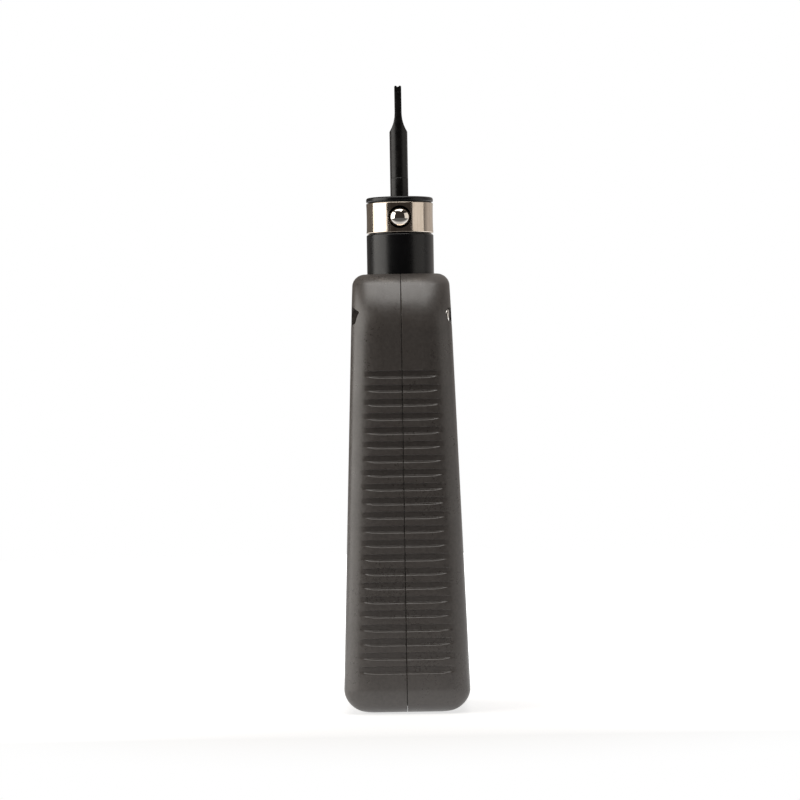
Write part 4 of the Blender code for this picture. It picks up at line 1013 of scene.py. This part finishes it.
@dataclass
class Nose(Assembly):
    """The telescoping sleeve with its spring band, its ball and the working blade."""

    blade: BladeForm
    clear: float = 0.3 * MM
    flange: float = 1.6 * MM
    band_thickness: float = 0.55 * MM
    ball_hole: float = 3.2 * MM
    split_half: float = 1.0 * MM

    def __post_init__(self) -> None:
        """Read the sleeve's, the band's and the ball's places from the frame."""
        self.low, self.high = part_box("blade_holder")
        self.radius = self.high.x
        self.band_low, self.band_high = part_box("spring_band")
        self.band_middle = 0.5 * (self.band_low.z + self.band_high.z)
        ball_low, ball_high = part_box("detent_ball")
        self.ball_radius = 0.5 * (ball_high.z - ball_low.z)
        self.ball_y = 0.5 * (ball_low.y + ball_high.y)

    def _sleeve(self) -> bpy.types.Object:
        """The sleeve with its cap flange, its neck for the band and its bores."""
        r, c, top = self.radius, self.clear, self.high.z
        neck = r - self.band_thickness - c
        bore = self.blade.root_radius + c
        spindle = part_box("impact_spindle")[1]
        clip_low, clip_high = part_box("retaining_clip")
        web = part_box("cutting_blade")[0].z - 2.0 * c
        edge = 0.5 * MM
        profile = [(0.0, web), (bore, web), (bore, top - edge)]
        profile += arc((bore + edge, top - edge), edge, 180.0, 90.0)
        profile += [(0.55 * r, top), (r - 1.3 * MM, top)]
        profile += arc((r - 0.55 * MM, top - 0.55 * MM), 0.55 * MM, 90.0, 0.0, 6)
        under = self.band_high.z + c
        profile += arc((r - 0.25 * MM, under + 0.25 * MM), 0.25 * MM, 0.0, -90.0, 4)
        profile += [(neck, under), (neck, self.band_low.z - c)]
        shoulder = self.band_low.z - c
        profile += arc((r - edge, shoulder - edge), edge, 90.0, 0.0, 6)
        profile += [(r, shoulder - 3.0 * MM), (r, clip_high.z + c), (r - 0.8 * MM, clip_high.z + c),
                    (r - 0.8 * MM, clip_low.z - c), (r, clip_low.z - c)]
        profile += arc((r - edge, self.low.z + edge), edge, 0.0, -90.0, 4)
        profile += [(spindle.x + c, self.low.z), (spindle.x + c, spindle.z + c), (0.0, spindle.z + c)]
        sleeve = lathe("sleeve", profile, 128)
        pin_low, pin_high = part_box("holder_pin")
        tools = [
            bar("tool_ball", self.ball_radius + c, r, "-Y", (0.0, -0.5 * bore, self.band_middle), 64),
            bar("tool_cross_pin", 0.5 * (pin_high.z - pin_low.z) + c, 4.0 * r, "+X",
                (-2.0 * r, 0.0, 0.5 * (pin_low.z + pin_high.z)), 32),
        ]
        carve(sleeve, tools)
        scrap(tools)
        return smooth(sleeve)

    def _band(self) -> bpy.types.Object:
        """The C-shaped band, its edges rolled slightly and its hole rimmed round the ball."""
        r = self.radius
        low, high = self.band_low.z, self.band_high.z
        inner = r - self.band_thickness
        roll = 0.22 * MM
        sag = 0.10 * MM
        profile = arc((r - roll, high - roll), roll, 90.0, 0.0, 5)
        steps = 10
        for i in range(1, steps):
            share = i / steps
            z = high - roll - (high - low - 2.0 * roll) * share
            profile.append((r - sag * math.sin(math.pi * share) ** 0.5, z))
        profile += arc((r - roll, low + roll), roll, 0.0, -90.0, 5)
        profile += [(inner + 0.05 * MM, low), (inner, low + 0.05 * MM), (inner, high - 0.05 * MM),
                    (inner + 0.05 * MM, high)]
        band = lathe("snap_band", profile, 160, ring=True)
        half = self.split_half
        tools = [
            bar("tool_band_hole", self.ball_hole, 2.0 * r, "-Y", (0.0, 0.0, self.band_middle), 72),
            block("tool_band_split", (-half, 0.0, low - MM), (half, 2.0 * r, high + MM)),
        ]
        carve(band, tools)
        scrap(tools)
        return smooth(band)

    def _ball(self) -> bpy.types.Object:
        """The detent ball."""
        profile = arc((0.0, 0.0), self.ball_radius, 90.0, -90.0, 36)
        profile[0] = (0.0, self.ball_radius)
        profile[-1] = (0.0, -self.ball_radius)
        place = toward("-Y", (0.0, self.ball_y, self.band_middle))
        return smooth(lathe("click_ball", profile, 72, turn=place))

    def build(self) -> None:
        """Build the sleeve, the band, the ball and the blade."""
        self.add(self._sleeve(), "blade_holder", "holder", "sleeve_black")
        self.add(self._band(), "spring_band", "holder", "nickel_band")
        self.add(self._ball(), "detent_ball", "ball", "polished_ball")
        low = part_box("cutting_blade")[0].z
        blade = self.blade.build("punch_blade", (0.0, 0.0, low))
        self.add(blade, "cutting_blade", "blade", "blade_black")


# ----------------------------------------------------------------------------------------------
# Fasteners, dial and springs
# ----------------------------------------------------------------------------------------------
@dataclass
class Fasteners(Assembly):
    """The five screws and nuts that hold the shells together."""

    count: int = 5
    shank: float = 1.5 * MM
    head_height: float = 2.2 * MM
    cross_half: float = 0.36 * MM
    cross_reach: float = 1.4 * MM
    cross_depth: float = 1.15 * MM

    def _screw(self, index: int) -> bpy.types.Object:
        """A pan-head screw with a cross recess, its head towards +X."""
        low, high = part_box(f"shell_screw_{index}")
        y, z = 0.5 * (low.y + high.y), 0.5 * (low.z + high.z)
        head = 0.5 * (high.y - low.y)
        top, under = high.x, high.x - self.head_height
        crown = 0.8 * MM
        profile = [(0.0, top), (0.45 * head, top - 0.02 * MM)]
        profile += [(head - crown + crown * math.sin(a), top - crown + crown * math.cos(a))
                    for a in (QUARTER * i / 6 for i in range(7))]
        profile += [(head, under), (self.shank, under), (self.shank, low.x + 0.4 * MM),
                    (self.shank - 0.4 * MM, low.x), (0.0, low.x)]
        screw = lathe(f"case_screw_{index}", profile, 48, turn=toward("+X", (0.0, y, z)))
        wide, reach, floor = self.cross_half, self.cross_reach, top - self.cross_depth
        tools = [
            block("tool_cross_a", (floor, y - reach, z - wide), (top + MM, y + reach, z + wide)),
            block("tool_cross_b", (floor, y - wide, z - reach), (top + MM, y + wide, z + reach)),
        ]
        carve(screw, tools)
        scrap(tools)
        return smooth(screw)

    def _nut(self, index: int) -> bpy.types.Object:
        """A chamfered hexagon nut with a straight bore."""
        low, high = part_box(f"shell_nut_{index}")
        y, z = 0.5 * (low.y + high.y), 0.5 * (low.z + high.z)
        radius = 0.5 * (high.z - low.z)
        nut = hexagon(f"case_nut_{index}", radius, (high.x, y, z), high.x - low.x)
        chamfer = 0.35 * MM
        over = 2.0 * radius
        profile = [(0.0, high.x), (radius - chamfer, high.x), (radius, high.x - chamfer),
                   (radius, low.x + chamfer), (radius - chamfer, low.x), (0.0, low.x)]
        hull = lathe("tool_nut_hull", profile, 64, turn=toward("+X", (0.0, y, z)))
        combine(nut, hull, "INTERSECT")
        bore = bar("tool_nut_bore", self.shank + 0.2 * MM, over, "+X", (low.x - MM, y, z), 32)
        carve(nut, [bore])
        scrap([hull, bore])
        return smooth(nut)

    def build(self) -> None:
        """Build every screw and nut."""
        for index in range(1, self.count + 1):
            self.add(self._screw(index), f"shell_screw_{index}", "handle", "zinc_steel")
            self.add(self._nut(index), f"shell_nut_{index}", "handle", "zinc_steel")


@dataclass
class ForceDial(Assembly):
    """The dial that sets the force of the blow, with a coin slot and a scalloped rim."""

    thickness: float = 3.0 * MM
    edge: float = 0.5 * MM
    hub: float = 3.1 * MM
    scallops: int = 20
    scallop_radius: float = 0.5 * MM
    slot_half: float = 0.8 * MM
    slot_depth: float = 1.0 * MM
    pin_radius: float = 1.5 * MM
    throw: float = 1.5 * MM

    def build(self) -> None:
        """Build the dial and the painted pointer on its face."""
        low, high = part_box("impact_dial")
        z, radius, top = 0.5 * (low.z + high.z), 0.5 * (high.z - low.z), high.x
        under = top - self.thickness
        hub_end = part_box("spring_seat")[1].x + 0.6 * MM
        edge = self.edge
        round_edge = [(radius - edge + edge * math.sin(a), top - edge + edge * math.cos(a))
                      for a in (QUARTER * i / 4 for i in range(5))]
        profile = [(0.0, top), (0.6 * radius, top), *round_edge, (radius, under), (self.hub, under),
                   (self.hub, hub_end), (0.0, hub_end)]
        dial = lathe("force_dial", profile, 120, turn=toward("+X", (0.0, 0.0, z)))
        pin = bar("tool_eccentric", self.pin_radius, hub_end + MM - low.x, "+X",
                  (low.x, 0.0, z - self.throw), 40)
        combine(dial, pin, "UNION")
        reach = radius - 1.3 * MM
        tools = [block("tool_coin_slot", (top - self.slot_depth, -self.slot_half, z - reach),
                       (top + MM, self.slot_half, z + reach))]
        ring = radius + 0.1 * MM
        for i in range(self.scallops):
            angle = FULL_TURN * (i + 0.5) / self.scallops
            place = (top - 1.1 * MM, ring * math.sin(angle), z + ring * math.cos(angle))
            tools.append(bar(f"tool_scallop_{i}", self.scallop_radius, 2.0 * MM, "+X", place, 20))
        carve(dial, tools)
        scrap([*tools, pin])
        self.add(smooth(dial), "impact_dial", "dial", "red_nylon")
        self._pointer(top, z, radius)

    def _pointer(self, top: float, z: float, radius: float) -> None:
        """Add the moulded arrow beside the slot that shows the setting."""
        bm = bmesh.new()
        raised = 0.06 * MM
        sunk = 0.15 * MM
        tip, foot, wide, aside = radius - 2.2 * MM, radius - 3.9 * MM, 0.8 * MM, 2.2 * MM
        outline = [(aside - wide, foot), (aside + wide, foot), (aside, tip)]
        rows = [[bm.verts.new((x, -y, z + up)) for y, up in outline] for x in (top - sunk, top + raised)]
        for i in range(3):
            j = (i + 1) % 3
            bm.faces.new((rows[0][i], rows[0][j], rows[1][j], rows[1][i]))
        bm.faces.new(rows[0])
        bm.faces.new(rows[1])
        arrow = soften(to_object("dial_pointer", bm), 0.04 * MM, 1)
        arrow.data.materials.append(self.finishes.paint)
        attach(arrow, "dial")
        LOG.info("%s: the dial's pointer", arrow.name)


@dataclass
class CoilSpring:
    """A compression spring with closed ends, or a part of its length.

    The part from share `first` to share `last` of the wire is wound.  `travel` and `from_end` are not used.
    """

    node: str
    name: str
    body: str
    wire: float
    joint: str
    travel: float
    turns: float = 8.0
    axis: str = "+Z"
    first: float = 0.0
    last: float = 1.0
    from_end: bool = False
    sides: int = 12
    steps: int = 28

    def _span(self) -> tuple[Vector, Vector, float, Matrix]:
        """Return the box's low corner, its size, the coil's outer radius and the placement of local Z."""
        low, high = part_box(self.node)
        middle = 0.5 * (low + high)
        size = high - low
        start = (low.x, middle.y, middle.z) if self.axis == "+X" else (middle.x, middle.y, low.z)
        across = size.z if self.axis == "+X" else size.y
        return low, size, 0.5 * across, toward(self.axis, start)

    def _height(self, turn: float, length: float) -> float:
        """Return the wire's height at a number of turns; the first and last turn lie closed."""
        live = self.turns - 2.0
        share = min(1.0, max(0.0, (turn - 1.0) / live))
        closed = min(turn, 1.0) + max(0.0, turn - self.turns + 1.0)
        return self.wire + share * (length - 6.0 * self.wire) + 2.0 * self.wire * closed

    def build(self) -> bpy.types.Object:
        """Return the wire, wound between the ends of its CAD node."""
        size, outer, place = self._span()[1:]
        length = size.x if self.axis == "+X" else size.z
        radius = outer - self.wire
        count = int(self.turns * self.steps)
        rows = []
        for i in range(round(self.first * count), round(self.last * count) + 1):
            turn = self.turns * i / count
            angle = FULL_TURN * turn
            out = Vector((math.cos(angle), math.sin(angle), 0.0))
            centre = out * radius + Vector((0.0, 0.0, self._height(turn, length)))
            rows.append([tuple(place @ (centre + out * self.wire * math.cos(a)
                                        + Vector((0.0, 0.0, self.wire * math.sin(a)))))
                         for a in (FULL_TURN * k / self.sides for k in range(self.sides))])
        return settle(smooth(loft(self.name, rows)))

    def squash(self, piece: bpy.types.Object) -> None:
        """Give the piece its own copy of its mesh."""
        low, size = self._span()[:2]
        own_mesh(piece)


@dataclass
class Springs(Assembly):
    """The three coil springs.  The main spring has two parts, as both of its ends can move."""

    def build(self) -> None:
        """Build all the springs."""
        reach = {joint["name"]: joint["range_m"][1] for joint in frame["joints"] if "range_m" in joint}
        stroke, lift = reach["stroke"], reach["seat_lift"]
        for spring in (
            CoilSpring("main_spring", "power_spring_upper", "handle", 0.8 * MM, "stroke", stroke, first=0.5),
            CoilSpring("main_spring", "power_spring_lower", "handle", 0.8 * MM, "seat_lift", lift,
                       last=0.5, from_end=True),
            CoilSpring("return_spring", "back_spring", "handle", 0.7 * MM, "stroke", stroke),
            CoilSpring("sear_spring", "sear_coil", "hammer", 0.2 * MM, "sear_slide", reach["sear_slide"],
                       turns=7.0, axis="+X"),
        ):
            piece = spring.build()
            self.add(piece, spring.node, spring.body, "spring_steel")
            spring.squash(piece)


# ----------------------------------------------------------------------------------------------
# Studio
# ----------------------------------------------------------------------------------------------
@dataclass
class Softbox:
    """A rectangular soft light, placed round the tool by its direction and distance."""

    name: str
    azimuth: float
    elevation: float
    distance: float
    size: Point2
    power: float
    tint: Colour = (1.0, 1.0, 1.0)

    def build(self, aim: Vector) -> None:
        """Place the light, facing a point.  Azimuth 0 is in front of the tool and 90 on its right."""
        light = bpy.data.lights.new(self.name, "AREA")
        light.shape = "RECTANGLE"
        light.size, light.size_y = self.size
        light.energy = self.power
        light.color = self.tint
        made = bpy.data.objects.new(self.name, light)
        a, e = math.radians(self.azimuth), math.radians(self.elevation)
        back = Vector((math.sin(a) * math.cos(e), -math.cos(a) * math.cos(e), math.sin(e)))
        made.location = aim + back * self.distance
        made.rotation_mode = "QUATERNION"
        made.rotation_quaternion = back.to_track_quat("Z", "Y")
        bpy.context.scene.collection.objects.link(made)


@dataclass
class Studio:
    """A pale floor that fades into a white surround, soft lights and the camera."""

    middle: float = 87.3 * MM
    distance: float = 0.9
    frame_height: float = 227.4 * MM
    lean: float = 0.92
    offset: float = 0.76 * MM
    floor_radius: float = 0.9

    def _surround(self) -> None:
        """White where it is seen, and dim and warmer in front where it lights the tool."""
        world = bpy.data.worlds.new("surround")
        bpy.context.scene.world = world
        world.use_nodes = True
        sheet = Sheet(world.node_tree)
        world.node_tree.nodes.clear()
        direction = sheet.node("ShaderNodeSeparateXYZ")
        sheet.feed(direction.inputs[0], sheet.node("ShaderNodeTexCoord").outputs["Generated"])
        behind = sheet.spread(direction.outputs["Y"], -0.2, 0.5, 0.0, 1.0)
        right = sheet.spread(direction.outputs["X"], -0.3, 0.3, 0.0, 1.0)
        rear = sheet.blend(right, (0.15, 0.135, 0.12, 1.0), (0.55, 0.51, 0.48, 1.0))
        room = sheet.node("ShaderNodeBackground")
        sheet.feed(room.inputs["Color"], sheet.blend(behind, (0.040, 0.034, 0.031, 1.0), rear))
        seen = sheet.node("ShaderNodeBackground")
        seen.inputs["Color"].default_value = (1.0, 1.0, 1.0, 1.0)
        mix = sheet.node("ShaderNodeMixShader")
        sheet.feed(mix.inputs[0], sheet.node("ShaderNodeLightPath").outputs["Is Camera Ray"])
        sheet.feed(mix.inputs[1], room.outputs[0])
        sheet.feed(mix.inputs[2], seen.outputs[0])
        sheet.feed(sheet.node("ShaderNodeOutputWorld").inputs[0], mix.outputs[0])

    def _floor(self) -> None:
        """A round pale floor whose rim fades to white."""
        bm = bmesh.new()
        bmesh.ops.create_circle(bm, cap_ends=True, segments=96, radius=self.floor_radius)
        floor = to_object("floor", bm)
        floor.location.z = -0.05 * MM
        material, sheet, shader = _begin("pale_floor")
        shader.inputs["Base Color"].default_value = (0.86, 0.86, 0.86, 1.0)
        shader.inputs["Roughness"].default_value = 0.8
        length = sheet.node("ShaderNodeVectorMath", operation="LENGTH")
        sheet.feed(length.inputs[0], sheet.place())
        fade = sheet.spread(length.outputs["Value"], 0.03, 0.16, 0.45, 1.0)
        side = sheet.node("ShaderNodeSeparateXYZ")
        sheet.feed(side.inputs[0], sheet.place())
        glow = sheet.spread(side.outputs["Y"], -0.22, 0.04, 0.12, 1.7)
        white = sheet.node("ShaderNodeEmission")
        seen = sheet.node("ShaderNodeLightPath").outputs["Is Camera Ray"]
        sheet.feed(white.inputs["Strength"], sheet.math("MAXIMUM", glow, seen))
        mix = sheet.node("ShaderNodeMixShader")
        sheet.feed(mix.inputs[0], fade)
        sheet.feed(mix.inputs[1], shader.outputs[0])
        sheet.feed(mix.inputs[2], white.outputs[0])
        output = next(n for n in material.node_tree.nodes if n.type == "OUTPUT_MATERIAL")
        sheet.feed(output.inputs[0], mix.outputs[0])
        floor.data.materials.append(material)
        LOG.info("%s: pale, fading to white", floor.name)

    def _lights(self) -> None:
        """A key from the left, a large light overhead and a fill from the right."""
        aim = Vector((0.0, 0.0, self.middle))
        for light in (
            Softbox("key", -76.0, 16.0, 0.9, (0.98, 0.9), 8.4, (1.0, 0.97, 0.92)),
            Softbox("top", -20.0, 80.0, 0.8, (0.75, 0.6), 5.0, (1.0, 0.98, 0.95)),
            Softbox("fill", 68.0, 10.0, 0.95, (0.8, 0.9), 1.9, (1.0, 0.95, 0.89)),
        ):
            light.build(aim)

    def _camera(self) -> None:
        """The camera, level with the middle of the tool and tilted by its lean."""
        data = bpy.data.cameras.new("camera")
        data.sensor_width = 36.0
        data.lens = data.sensor_width * self.distance / self.frame_height
        camera = bpy.data.objects.new("camera", data)
        upright = Matrix.Rotation(QUARTER, 4, "X")
        roll = Matrix.Rotation(-math.radians(self.lean), 4, "Z")
        camera.matrix_world = Matrix.Translation((-self.offset, -self.distance, self.middle)) @ upright @ roll
        bpy.context.scene.collection.objects.link(camera)
        bpy.context.scene.camera = camera

    def build(self) -> None:
        """Build the stage."""
        self._surround()
        self._floor()
        self._lights()
        self._camera()
        bpy.context.scene.view_settings.view_transform = "Standard"


def main() -> None:
    """Build the tool's looks and the studio, and report each piece."""
    logging.basicConfig(level=logging.INFO, format="%(name)s: %(message)s")
    effects = Effects()
    finishes = Finishes(effects)
    finishes.dress_frame()
    Studio().build()
    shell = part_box("left_shell")[1]
    form = HandleForm(height=shell.z, half_deep=shell.y)
    blade_low, blade_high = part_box("cutting_blade")
    ball_low, ball_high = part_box("detent_ball")
    blade = BladeForm(length=blade_high.z - blade_low.z,
                      detent=0.5 * (ball_low.z + ball_high.z) - blade_low.z)
    hatch = StorageHatch(finishes, form, blade)
    Handle(finishes, form).build(hatch)
    hatch.build()
    Nose(finishes, blade).build()
    Fasteners(finishes).build()
    ForceDial(finishes).build()
    Springs(finishes).build()


if __name__ == "__main__":
    main()
